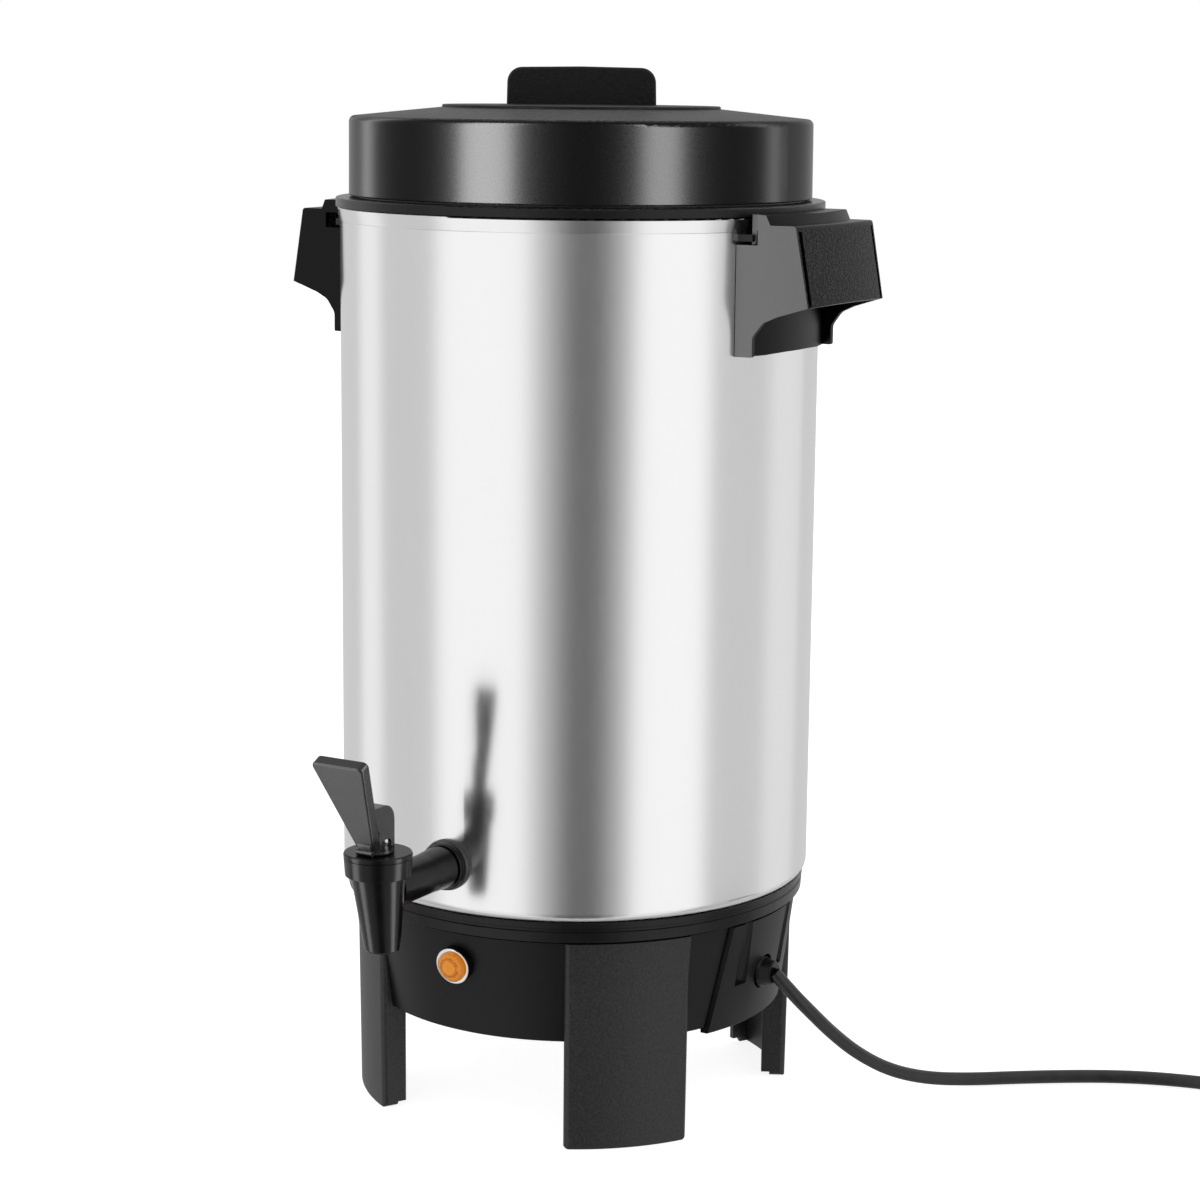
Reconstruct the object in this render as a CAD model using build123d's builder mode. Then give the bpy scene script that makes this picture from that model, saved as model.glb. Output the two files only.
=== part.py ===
from build123d import *
import os
from math import asin, atan, cos, degrees, pi, radians, sin, tan

# A percolating coffee urn in millimetres. +Z is up, the floor is z = 0 and the urn's axis is
# x = y = 0. The tap faces -Y, the handles are on +X and -X, the cord leaves at +X, and the
# four legs stand between them.

os.makedirs("parts", exist_ok=True)

# ---- Driving dimensions -------------------------------------------------------------------

fit = 0.1  # gap between flat faces that rest on or beside each other
running = 0.05  # radial gap of a rod in its own bore
loose = 0.3  # radial gap of what lifts in and out

# Tank
body_radius = 105.0
body_bottom = 102.9
body_height = 294.2
tank_wall = 0.8
tank_floor = 1.2
tank_corner = 4.0
hem_height = 6.2
hem_flare = 1.3
well_radius = 22.0
well_depth = 14.1
body_top = body_bottom + body_height
tank_inner = body_radius - tank_wall
tank_floor_top = body_bottom + tank_floor
well_outer = well_radius + tank_floor
well_top = tank_floor_top - well_depth
well_bottom = well_top - tank_floor

# Base
band_height = 9.0
band_proud = -1.5
band_flange = 2.6
skirt_height = 45.7
skirt_taper = 6.6
skirt_inset = 5.5
skirt_wall = 2.5
panel_proud = 2.0
panel_drop = 2.5
panel_half_top = 28.0
panel_half_bottom = 33.4
base_plate_thickness = 2.0
band_radius = body_radius + band_proud
band_bottom = body_bottom - band_height
skirt_top = band_bottom - 1.4
skirt_bottom = skirt_top - skirt_height
skirt_radius = body_radius - skirt_inset
skirt_foot_radius = skirt_radius - skirt_taper
skirt_slope = skirt_taper / skirt_height
skirt_lean = degrees(atan(skirt_slope))
boss_circle = 83.0
boss_radius = 4.0
stud_circle = 86.0
stud_radius = 2.0

# Legs
leg_half_angle = 16.5
leg_wall = 3.0
leg_flange_radius = 86.8
leg_step_radius = 90.6
leg_step_height = 2.0
leg_top_radius = 100.5
leg_bend_radius = 98.5
leg_bend_height = 73.0
leg_foot_radius = 97.6
leg_screw_height = 58.0
leg_screw_angle = 8.0
leg_corner = 2.5

# Lid and collar
collar_radius = 106.9
collar_thickness = 4.0
collar_bore = 95.9
lid_radius = 100.9
lid_gap = 0.8
lid_height = 33.8
lid_wall = 2.2
lid_rim_round = 2.6
lid_crown = 4.1
grip_disc_radius = 60.6
grip_disc_depth = 2.2
grip_turn = 31.0
grip_half_length = 32.5
grip_height = 16.6
grip_thickness = 8.0
collar_top = body_top + collar_thickness
lid_bottom = collar_top + lid_gap
lid_rim = lid_bottom + lid_height
lid_crown_top = lid_rim + lid_crown
grip_seat = lid_crown_top - 1.0
liner_radius = collar_bore - loose - 0.1
liner_wall = 1.2
liner_top = lid_rim - 9.6

# Brewing set
stem_radius = 4.6
stem_bore = 3.8
stem_height = 305.0
basket_radius = 70.0
basket_depth = 67.0
basket_wall = 0.8
basket_stop = 318.0
foot_radius = 20.5

# Tap
tap_height = 124.3
tap_reach = 156.0
shank_radius = 7.75
shank_outer_radius = 8.6
shank_bore = 4.6
spout_bottom = 99.5
spout_radius = 7.45
spout_reach = 153.2
spout_bore = 4.3
tap_neck_height = 137.5
tap_neck_radius = 10.9
tap_cone_radius = 11.2
chamber_radius = 7.2
chamber_floor = 117.0
bonnet_radius = 14.25
bonnet_taper = 0.7
bonnet_bottom = 132.1
bonnet_top = 142.0
bonnet_roof = 2.3
stem_rod_radius = 2.4
lever_axis_reach = 165.2
lever_axis_height = 143.4
lever_foot_reach = 162.4
lever_lean = 27.2
lever_length = 44.2
lever_top_half = 12.9
lever_neck_half = 3.9
lever_thickness = 5.4
lug_half = 3.2
lug_back = 148.8
lug_top = 161.4
lever_pin_height = 145.2
lever_pin_radius = 1.2

# Handles
handle_half = 38.7
handle_toe = 0.09
handle_bottom = 340.0
handle_top = 394.2
handle_wall = 2.4
handle_back = 2.3
grip_bottom_reach = 132.3
grip_top_reach = 126.6
grip_bottom_height = 361.0
grip_bow = 250.0
ledge_radius = 118.6
ledge_top = 398.3
ledge_draft = 1.8
notch_reach = 107.2
notch_bottom = 386.0
handle_screw_height = 372.0
handle_screw_angle = 7.5

# Pilot light and cord inlet
lamp_height = 78.8
lamp_radius = 8.1
lamp_proud = 3.1
lens_radius = 6.7
lens_proud = 3.0
inlet_height = 65.5
inlet_recess_radius = 7.8
bushing_radius = 5.6
bushing_end = 103.0

# Cord
cord_diameter = 6.0
coil_centre = (313.0, 97.0)
coil_outer_turn = 39.2
coil_pitch = 6.2
coil_turns = 3.25
plug_height = 8.2

# The cord's route from the bushing to the coil, as it hangs and lies on the floor.
cord_route = [
    (103.0, 0.0, 65.5),
    (110.2, 3.4, 56.4),
    (115.6, 10.4, 47.2),
    (120.8, 21.0, 35.6),
    (127.6, 34.6, 22.8),
    (136.8, 50.0, 11.8),
    (148.2, 65.4, 5.4),
    (162.6, 79.8, 3.2),
    (180.4, 94.2, 3.1),
    (198.4, 107.2, 3.1),
    (216.6, 118.8, 3.1),
    (236.4, 128.0, 3.1),
    (259.0, 134.2, 3.1),
    (286.0, 137.0, 3.1),
    (313.0, 136.2, 3.1),
]


# ---- Helpers ------------------------------------------------------------------------------


def outline(points, plane):
    """Fill a closed outline of (x, y) points on a plane; a third number rounds that corner."""
    with BuildSketch(plane) as flat:
        with BuildLine():
            Polyline(*[point[:2] for point in points], close=True)
        make_face()
        for x, y, radius in [point for point in points if len(point) > 2]:
            fillet(flat.vertices().sort_by_distance((x, y))[0], radius=radius)
    return flat.sketch


def turned(points, plane=Plane.XZ, arc=360.0, mode=Mode.ADD):
    """Revolve a closed outline of (radius, height) points about the plane's upright axis."""
    upright = Axis(plane.origin, plane.y_dir)
    revolve(outline(points, plane), axis=upright, revolution_arc=arc, mode=mode)


def prism(points, plane, near, far, mode=Mode.ADD):
    """Extrude a closed outline between two distances along the plane's normal."""
    extrude(outline(points, plane.offset(near)), amount=far - near, mode=mode)


def rod(start, end, radius, mode=Mode.ADD):
    """A round rod between two points."""
    along = Vector(*end) - Vector(*start)
    with BuildSketch(Plane(start, z_dir=along)) as section:
        Circle(radius)
    extrude(section.sketch, amount=along.length, mode=mode)


def tube_along(points, radii, radius):
    """Sweep a round section along straight runs joined by tangent arcs."""
    with BuildLine() as path:
        FilletPolyline(*points, radius=radii)
    route = path.wire()
    with BuildSketch(Plane(route @ 0, z_dir=route % 0)) as section:
        Circle(radius)
    sweep(section.sketch, path=route)
    return route.length


def polar(radius, angle, height):
    """A point at a radius and an angle from +X."""
    return (radius * cos(radians(angle)), radius * sin(radians(angle)), height)


def skirt_outer(height):
    """The skirt's outer radius at a height."""
    return skirt_foot_radius + (height - skirt_bottom) * skirt_slope


handle_screws = [
    (side + angle, handle_screw_height)
    for side in (0, 180)
    for angle in (-handle_screw_angle, handle_screw_angle)
]
stud_angles = (60.0, 180.0, 300.0)
boss_angles = (20.0, 110.0, 200.0, 290.0)
leg_names = {
    -45.0: "leg_front_right",
    45.0: "leg_rear_right",
    135.0: "leg_rear_left",
    -135.0: "leg_front_left",
}
tap_axis = Plane((0, -tap_reach, 0), x_dir=(1, 0, 0), z_dir=(0, -1, 0))
shank_axis = Plane((0, 0, tap_height), x_dir=(1, 0, 0), z_dir=(0, 0, -1))

# ---- Tank ---------------------------------------------------------------------------------

hem_bottom = body_top - hem_height
tap_hole_radius = shank_radius + 0.45
handle_hole_radius = 2.2

with BuildPart() as tank:
    turned(
        [
            (0, well_bottom),
            (well_outer, well_bottom, 2),
            (well_outer, body_bottom),
            (body_radius, body_bottom, tank_corner),
            (body_radius, hem_bottom),
            (body_radius + 0.3, hem_bottom + 0.2),
            (body_radius + hem_flare, body_top, 0.8),
            (tank_inner, body_top),
            (tank_inner, tank_floor_top, tank_corner - tank_wall),
            (well_radius, tank_floor_top),
            (well_radius, well_top, 0.8),
            (0, well_top),
        ]
    )
    rod(
        (0, -tank_inner + 3, tap_height),
        (0, -body_radius - 3, tap_height),
        tap_hole_radius,
        Mode.SUBTRACT,
    )
    for angle, height in handle_screws:
        rod(
            polar(tank_inner - 3, angle, height),
            polar(body_radius + 3, angle, height),
            handle_hole_radius,
            Mode.SUBTRACT,
        )
    for angle in stud_angles:
        rod(polar(stud_circle, angle, body_bottom), polar(stud_circle, angle, 84.5), stud_radius)
    rod((0, 0, well_bottom), (0, 0, 76), 3.0)
tank.part.label = "tank"
export_step(tank.part, "parts/tank.step")

# ---- Collar on the tank's rim -------------------------------------------------------------

collar_bottom = body_top + running

with BuildPart() as collar_ring:
    turned(
        [
            (collar_bore, 391.0),
            (collar_bore, collar_top, 0.8),
            (collar_radius, collar_top, 0.7),
            (collar_radius, collar_bottom),
            (tank_inner - loose, collar_bottom),
            (tank_inner - loose, 388.0),
            (tank_inner - loose - 2.1, 388.0),
            (tank_inner - loose - 2.1, collar_bottom),
            (collar_bore + 2.0, collar_bottom),
            (collar_bore + 2.0, 391.0),
        ]
    )
collar_ring.part.label = "collar_ring"
export_step(collar_ring.part, "parts/collar_ring.step")

# ---- Lid ----------------------------------------------------------------------------------

liner_boss_circle = 80.0
liner_boss_angles = (grip_turn + 90, grip_turn + 210, grip_turn + 330)
grip_screw_reach = 20.0
grip_screws_at = [polar(reach, grip_turn, 0) for reach in (-grip_screw_reach, grip_screw_reach)]

with BuildPart() as lid:
    turned(
        [
            (lid_radius + 0.2 - lid_wall, lid_bottom),
            (lid_radius + 0.2, lid_bottom, 0.6),
            (lid_radius, lid_rim, lid_rim_round),
            (grip_disc_radius + loose, lid_crown_top),
            (grip_disc_radius + loose, grip_seat),
            (0, grip_seat),
            (0, grip_seat - lid_wall),
            (grip_disc_radius + 2, grip_seat - lid_wall),
            (lid_radius - lid_wall - 2, lid_rim - lid_wall, 2),
            (lid_radius - lid_wall, lid_rim - 6),
        ]
    )
    for angle in liner_boss_angles:
        rod(polar(liner_boss_circle, angle, liner_top + fit), polar(liner_boss_circle, angle, 436.5), 4)
        rod(
            polar(liner_boss_circle, angle, liner_top),
            polar(liner_boss_circle, angle, 433.6),
            1.65,
            Mode.SUBTRACT,
        )
    for x, y, _ in grip_screws_at:
        rod((x, y, grip_seat - 5), (x, y, grip_seat + 2), 2.0, Mode.SUBTRACT)
lid.part.label = "lid"
export_step(lid.part, "parts/lid.step")

liner_flange = collar_top + fit

with BuildPart() as lid_liner:
    turned(
        [
            (0, liner_top),
            (liner_radius, liner_top, 2.0),
            (liner_radius, liner_flange + 1.2),
            (lid_radius - lid_wall - 0.4, liner_flange + 1.2),
            (lid_radius - lid_wall - 0.4, liner_flange),
            (liner_radius, liner_flange),
            (liner_radius, 393.5),
            (liner_radius - liner_wall, 393.5),
            (liner_radius - liner_wall, liner_top - liner_wall, 1.0),
            (0, liner_top - liner_wall),
        ]
    )
    for angle in liner_boss_angles:
        rod(
            polar(liner_boss_circle, angle, liner_top - 3),
            polar(liner_boss_circle, angle, liner_top + 1),
            1.9,
            Mode.SUBTRACT,
        )
lid_liner.part.label = "lid_liner"
export_step(lid_liner.part, "parts/lid_liner.step")

grip_plane = Plane((0, 0, 0), x_dir=polar(1, grip_turn, 0), z_dir=polar(1, grip_turn - 90, 0))
grip_disc_top = grip_seat + grip_disc_depth
grip_top = grip_disc_top + grip_height

with BuildPart() as lid_grip:
    turned(
        [
            (0, grip_seat + fit),
            (grip_disc_radius, grip_seat + fit),
            (grip_disc_radius, grip_disc_top, 0.6),
            (0, grip_disc_top + 0.6),
        ]
    )
    prism(
        [
            (-grip_half_length, grip_seat + 1),
            (grip_half_length, grip_seat + 1),
            (grip_half_length - 0.4, grip_top - 0.5, 6.5),
            (0, grip_top, 60),
            (-grip_half_length + 0.4, grip_top - 0.5, 6.5),
        ],
        grip_plane,
        -grip_thickness / 2,
        grip_thickness / 2,
    )
    bar_faces = lid_grip.faces().filter_by(GeomType.PLANE).sort_by(Axis.Z)[-2:]
    fillet(
        [
            edge
            for edge in bar_faces.edges()
            if edge.center().Z > grip_disc_top + 4 and edge.length > 2
        ],
        radius=1.2,
    )
    for x, y, _ in grip_screws_at:
        rod((x, y, grip_seat), (x, y, grip_seat + 10.5), 1.85, Mode.SUBTRACT)
lid_grip.part.label = "lid_grip"
export_step(lid_grip.part, "parts/lid_grip.step")

with BuildPart() as lid_grip_screws:
    for x, y, _ in grip_screws_at:
        under_lid = grip_seat - lid_wall
        rod((x, y, under_lid - 2.4), (x, y, under_lid - running), 3.4)
        rod((x, y, under_lid - running), (x, y, grip_seat + 9.5), 1.75)
        prism(
            [(x - 2.4, y - 0.4), (x + 2.4, y - 0.4), (x + 2.4, y + 0.4), (x - 2.4, y + 0.4)],
            Plane.XY,
            under_lid - 3,
            under_lid - 1.6,
            Mode.SUBTRACT,
        )
lid_grip_screws.part.label = "lid_grip_screws"
export_step(lid_grip_screws.part, "parts/lid_grip_screws.step")

with BuildPart() as lid_liner_screws:
    for angle in liner_boss_angles:
        head = liner_top - liner_wall
        rod(polar(liner_boss_circle, angle, head - 2), polar(liner_boss_circle, angle, head - running), 3.2)
        rod(polar(liner_boss_circle, angle, head - running), polar(liner_boss_circle, angle, 432.8), 1.6)
lid_liner_screws.part.label = "lid_liner_screws"
export_step(lid_liner_screws.part, "parts/lid_liner_screws.step")

# ---- Brewing set --------------------------------------------------------------------------

foot_bottom = well_top + 0.2
stem_bottom = foot_bottom + 7.9
stem_top = stem_bottom + stem_height - 5
washer_seat = foot_bottom + 2.8

with BuildPart() as pump_stem:
    turned(
        [
            (stem_bore, stem_bottom),
            (stem_radius, stem_bottom),
            (stem_radius, basket_stop - 4),
            (stem_radius + 3, basket_stop - 2),
            (stem_radius + 3, basket_stop),
            (stem_radius, basket_stop),
            (stem_radius, stem_top, 0.3),
            (stem_bore, stem_top, 0.3),
        ]
    )
pump_stem.part.label = "pump_stem"
export_step(pump_stem.part, "parts/pump_stem.step")

with BuildPart() as pump_foot:
    turned(
        [
            (foot_radius - 1.1, foot_bottom),
            (foot_radius, foot_bottom),
            (foot_radius, foot_bottom + 3.4, 0.8),
            (stem_radius + 1.6, foot_bottom + 10.2),
            (stem_radius + 1.6, foot_bottom + 15),
            (stem_radius + running, foot_bottom + 15),
            (stem_radius + running, foot_bottom + 9.0),
            (foot_radius - 1.1, foot_bottom + 2.8),
            (5, foot_bottom + 2.8),
            (5, foot_bottom + 1.8),
            (foot_radius - 1.1, foot_bottom + 1.8),
        ]
    )
    for angle in (0, 90):
        with BuildSketch(Plane.XY.offset(foot_bottom - 1)):
            Rectangle(2.4 * foot_radius, 9, rotation=angle)
        extrude(amount=2.4, mode=Mode.SUBTRACT)
pump_foot.part.label = "pump_foot"
export_step(pump_foot.part, "parts/pump_foot.step")

with BuildPart() as pump_washer:
    turned(
        [
            (0, washer_seat + running),
            (8, washer_seat + running),
            (8, washer_seat + 1),
            (0, washer_seat + 1),
        ]
    )
pump_washer.part.label = "pump_washer"
export_step(pump_washer.part, "parts/pump_washer.step")

basket_floor = basket_stop + fit
basket_rim = basket_floor + basket_depth
sleeve_bore = stem_radius + 2 * loose

with BuildPart() as basket:
    turned(
        [
            (sleeve_bore, basket_floor),
            (basket_radius, basket_floor, 3),
            (basket_radius, basket_rim - 1),
            (basket_radius + 1.5, basket_rim - 1),
            (basket_radius + 1.5, basket_rim),
            (basket_radius - basket_wall, basket_rim),
            (basket_radius - basket_wall, basket_floor + basket_wall, 2.2),
            (sleeve_bore + basket_wall, basket_floor + basket_wall),
            (sleeve_bore + basket_wall, basket_floor + 27),
            (sleeve_bore, basket_floor + 27),
        ]
    )
    for circle, count in ((24, 8), (40, 14), (56, 20)):
        with BuildSketch(Plane.XY.offset(basket_floor - 1)):
            with PolarLocations(circle, count):
                Circle(1.5)
        extrude(amount=basket_wall + 2, mode=Mode.SUBTRACT)
basket.part.label = "basket"
export_step(basket.part, "parts/basket.step")

cover_top = basket_rim + fit + basket_wall

with BuildPart() as basket_cover:
    turned(
        [
            (sleeve_bore, cover_top - 4.8),
            (basket_radius - 4, cover_top - 4.8),
            (basket_radius - 1.6, cover_top - basket_wall),
            (basket_radius + 1.3, cover_top - basket_wall),
            (basket_radius + 1.3, cover_top),
            (basket_radius - 2, cover_top),
            (basket_radius - 4.4, cover_top - 4.0),
            (sleeve_bore, cover_top - 4.0),
        ]
    )
    for circle, count in ((20, 8), (36, 12), (52, 18)):
        with BuildSketch(Plane.XY.offset(cover_top - 6)):
            with PolarLocations(circle, count):
                Circle(1.8)
        extrude(amount=4, mode=Mode.SUBTRACT)
basket_cover.part.label = "basket_cover"
export_step(basket_cover.part, "parts/basket_cover.step")

# ---- Tap ----------------------------------------------------------------------------------

shank_inner_end = 96.0
nut_face = body_radius + 2.1
nut_depth = 2.9
shank_shoulder = nut_face + nut_depth + 0.6
spout_bore_reach = spout_reach + 1.3

with BuildPart() as tap_body:
    # The spout is a cone that leans back under the bonnet
    rim = (spout_reach, spout_bottom, spout_radius - 0.6)
    lip = (spout_reach, spout_bottom + 0.8, spout_radius)
    brow = (tap_reach, bonnet_bottom - fit, tap_cone_radius)
    for low, high in ((rim, lip), (lip, brow)):
        for reach, height, radius in (low, high):
            with BuildSketch(Plane((0, -reach, height))):
                Circle(radius)
        loft()
    rod((0, -tap_reach, bonnet_bottom - 1), (0, -tap_reach, tap_neck_height), tap_neck_radius)
    turned(
        [
            (0, shank_inner_end),
            (shank_radius, shank_inner_end, 0.6),
            (shank_radius, shank_shoulder),
            (shank_outer_radius + 0.6, shank_shoulder, 0.4),
            (shank_outer_radius, shank_shoulder + 12),
            (shank_outer_radius, tap_reach - 8),
            (0, tap_reach - 8),
        ],
        shank_axis,
    )
    # The shoulder that the bonnet screws down to
    turned(
        [
            (tap_neck_radius, bonnet_bottom - fit),
            (bonnet_radius + loose, bonnet_bottom - fit),
            (bonnet_radius + loose, bonnet_top),
            (tap_neck_radius, bonnet_top),
        ],
        tap_axis,
        mode=Mode.SUBTRACT,
    )
    rod(
        (0, -shank_inner_end + 1, tap_height),
        (0, -tap_reach, tap_height),
        shank_bore,
        Mode.SUBTRACT,
    )
    rod(
        (0, -spout_bore_reach, spout_bottom - 1),
        (0, -spout_bore_reach, chamber_floor + 1),
        spout_bore,
        Mode.SUBTRACT,
    )
    rod(
        (0, -tap_reach, chamber_floor),
        (0, -tap_reach, tap_neck_height + 1),
        chamber_radius,
        Mode.SUBTRACT,
    )
tap_body.part.label = "tap_body"
export_step(tap_body.part, "parts/tap_body.step")

nut_radius = 10.4
washer_radius = 11.0

with BuildPart() as tap_nut_outer:
    turned(
        [
            (shank_radius + running, nut_face),
            (nut_radius, nut_face, 0.3),
            (nut_radius, nut_face + nut_depth - 1.1),
            (nut_radius - 0.3, nut_face + nut_depth - 0.9),
            (nut_radius - 0.3, nut_face + nut_depth, 0.3),
            (shank_radius + running, nut_face + nut_depth),
        ],
        shank_axis,
    )
tap_nut_outer.part.label = "tap_nut_outer"
export_step(tap_nut_outer.part, "parts/tap_nut_outer.step")

with BuildPart() as tap_washer_outer:
    turned(
        [
            (shank_radius + running, body_radius - 2),
            (washer_radius, body_radius - 2),
            (washer_radius, nut_face - running, 0.7),
            (shank_radius + running, nut_face - running),
        ],
        shank_axis,
    )
    turned(
        [(0, 90), (body_radius + running, 90), (body_radius + running, 160), (0, 160)],
        mode=Mode.SUBTRACT,
    )
tap_washer_outer.part.label = "tap_washer_outer"
export_step(tap_washer_outer.part, "parts/tap_washer_outer.step")

inner_nut_face = tank_inner - 2.6

with BuildPart() as tap_washer_inner:
    turned(
        [
            (shank_radius + running, inner_nut_face + running),
            (11.5, inner_nut_face + running),
            (11.5, body_radius),
            (shank_radius + running, body_radius),
        ],
        shank_axis,
    )
    turned(
        [(0, 90), (tank_inner - running, 90), (tank_inner - running, 160), (0, 160)],
        mode=Mode.INTERSECT,
    )
tap_washer_inner.part.label = "tap_washer_inner"
export_step(tap_washer_inner.part, "parts/tap_washer_inner.step")

with BuildPart() as tap_nut_inner:
    with BuildSketch(Plane((0, -inner_nut_face, tap_height), x_dir=(1, 0, 0), z_dir=(0, 1, 0))):
        RegularPolygon(12.4, 6)
        Circle(shank_radius + running, mode=Mode.SUBTRACT)
    extrude(amount=4.2)
tap_nut_inner.part.label = "tap_nut_inner"
export_step(tap_nut_inner.part, "parts/tap_nut_inner.step")

bonnet_inner_top = bonnet_top - bonnet_roof

with BuildPart() as tap_bonnet:
    turned(
        [
            (tap_neck_radius + 0.15, bonnet_bottom),
            (bonnet_radius - bonnet_taper, bonnet_bottom, 0.5),
            (bonnet_radius - 0.15, bonnet_top - 2.4),
            (bonnet_radius - 0.4, bonnet_top - 2.2),
            (bonnet_radius - 0.4, bonnet_top - 1.9),
            (bonnet_radius - 0.1, bonnet_top - 1.7),
            (bonnet_radius, bonnet_top, 0.9),
            (stem_rod_radius + 0.5, bonnet_top),
            (stem_rod_radius + 0.5, bonnet_inner_top),
            (chamber_radius, bonnet_inner_top),
            (chamber_radius, tap_neck_height + fit),
            (tap_neck_radius + 0.15, tap_neck_height + fit),
        ],
        tap_axis,
    )
tap_bonnet.part.label = "tap_bonnet"
export_step(tap_bonnet.part, "parts/tap_bonnet.step")

cup_bottom = chamber_floor + 0.3
cup_top = cup_bottom + 10.2
cup_radius = chamber_radius - 0.6

with BuildPart() as seat_cup:
    turned(
        [
            (0, cup_bottom),
            (cup_radius - 0.4, cup_bottom),
            (cup_radius, cup_bottom + 2.2),
            (cup_radius - 1.0, cup_top - 2.2),
            (cup_radius, cup_top - 1.4),
            (cup_radius, cup_top),
            (2.0 + running, cup_top),
            (2.0 + running, cup_bottom + 2.5),
            (0, cup_bottom + 2.5),
        ],
        tap_axis,
    )
seat_cup.part.label = "seat_cup"
export_step(seat_cup.part, "parts/seat_cup.step")

tongue_bottom = bonnet_top - 3.0
tongue_half = 1.3

with BuildPart() as valve_stem:
    turned(
        [
            (0, cup_bottom + 2.6),
            (2.0, cup_bottom + 2.6),
            (2.0, cup_top + 1),
            (stem_rod_radius, cup_top + 1.2),
            (stem_rod_radius, lever_pin_height + 2.2, 0.6),
            (0, lever_pin_height + 2.2),
        ],
        tap_axis,
    )
    for side in (-1, 1):
        with BuildSketch(Plane((side * (tongue_half + 2), -tap_reach, tongue_bottom))):
            Rectangle(4, 8)
        extrude(amount=12, mode=Mode.SUBTRACT)
    rod(
        (-4, -tap_reach, lever_pin_height),
        (4, -tap_reach, lever_pin_height),
        lever_pin_radius + running,
        Mode.SUBTRACT,
    )
valve_stem.part.label = "valve_stem"
export_step(valve_stem.part, "parts/valve_stem.step")

with BuildPart() as valve_pin:
    rod(
        (fit - lug_half, -tap_reach, lever_pin_height),
        (lug_half - fit, -tap_reach, lever_pin_height),
        lever_pin_radius,
    )
valve_pin.part.label = "valve_pin"
export_step(valve_pin.part, "parts/valve_pin.step")

spring_turns = 4
spring_wire = 0.4
spring_bottom = cup_top + spring_wire + fit
spring_top = bonnet_inner_top - spring_wire - fit

with BuildPart() as valve_spring:
    with BuildLine() as coil_line:
        Helix(
            (spring_top - spring_bottom) / spring_turns,
            spring_top - spring_bottom,
            4.6,
            center=(0, -tap_reach, spring_bottom),
        )
    with BuildSketch(Plane(coil_line.line @ 0, z_dir=coil_line.line % 0)):
        Circle(spring_wire)
    sweep(path=coil_line.line)
valve_spring.part.label = "valve_spring"
export_step(valve_spring.part, "parts/valve_spring.step")

# The lever rocks on the rounded toe of its foot. Pulled outwards, it lifts the valve by the
# pin that crosses its fork.
lever_side = Plane((0, 0, 0), x_dir=(0, -1, 0), z_dir=(-1, 0, 0))
toe = lever_axis_height - bonnet_top - 0.2
lean_x = sin(radians(lever_lean))
lean_z = cos(radians(lever_lean))
paddle_plane = Plane(
    (0, -lever_foot_reach, lever_axis_height + 2),
    x_dir=(1, 0, 0),
    z_dir=Vector(1, 0, 0).cross(Vector(0, -lean_x, lean_z)),
)

with BuildPart() as tap_lever:
    # The paddle
    prism(
        [
            (-lever_neck_half, -1.5),
            (lever_neck_half, -1.5),
            (lever_top_half, lever_length, 2.4),
            (-lever_top_half, lever_length, 2.4),
        ],
        paddle_plane,
        -lever_thickness / 2,
        lever_thickness / 2,
    )
    fillet(
        [
            edge
            for edge in tap_lever.edges()
            if edge.center().Z > lever_axis_height + 8 and edge.length > 6
        ],
        radius=1.0,
    )
    # The foot disc, its rounded toe and the lug behind the paddle
    turned(
        [
            (0, bonnet_top + 0.2),
            (7.2, bonnet_top + 0.2),
            (7.8, bonnet_top + 0.8),
            (7.8, bonnet_top + 1.8),
            (0, bonnet_top + 1.8),
        ],
        Plane((0, -lever_axis_reach + 7.4, 0), x_dir=(1, 0, 0), z_dir=(0, -1, 0)),
    )
    rod(
        (-lever_neck_half, -lever_axis_reach, lever_axis_height),
        (lever_neck_half, -lever_axis_reach, lever_axis_height),
        toe,
    )
    prism(
        [
            (lug_back, bonnet_top + 0.2),
            (lug_back, lug_top, 6.8),
            (lug_back + 14, lug_top),
            (lever_axis_reach + 3.6, lug_top - 6),
            (lever_axis_reach, bonnet_top + 1.4),
            (lever_axis_reach - 1.0, bonnet_top + 0.2),
        ],
        lever_side,
        -lug_half,
        lug_half,
    )
    # The fork's slot and the pin's slots in its cheeks
    prism(
        [(140.0, 140.0), (159.2, 140.0), (159.2, 150.4), (140.0, 150.4)],
        lever_side,
        -tongue_half - 0.3,
        tongue_half + 0.3,
        Mode.SUBTRACT,
    )
    pin_slot_middle = lever_axis_height + 1.85
    pin_slot_half = lever_pin_radius + 0.55
    prism(
        [
            (151.2, pin_slot_middle - pin_slot_half, 1.6),
            (157.7, pin_slot_middle - pin_slot_half, 1.6),
            (157.7, pin_slot_middle + pin_slot_half, 1.6),
            (151.2, pin_slot_middle + pin_slot_half, 1.6),
        ],
        lever_side,
        -9,
        9,
        Mode.SUBTRACT,
    )
    # A slit down each side between the lug and the paddle's neck
    prism(
        [(159.9, 144.6), (160.7, 144.6), (160.3, 151.2), (159.5, 151.2)],
        lever_side,
        -lug_half - 1,
        -lug_half + 0.9,
        Mode.SUBTRACT,
    )
    prism(
        [(159.9, 144.6), (160.7, 144.6), (160.3, 151.2), (159.5, 151.2)],
        lever_side,
        lug_half - 0.9,
        lug_half + 1,
        Mode.SUBTRACT,
    )
tap_lever.part.label = "tap_lever"
export_step(tap_lever.part, "parts/tap_lever.step")

# ---- Handles ------------------------------------------------------------------------------

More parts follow.
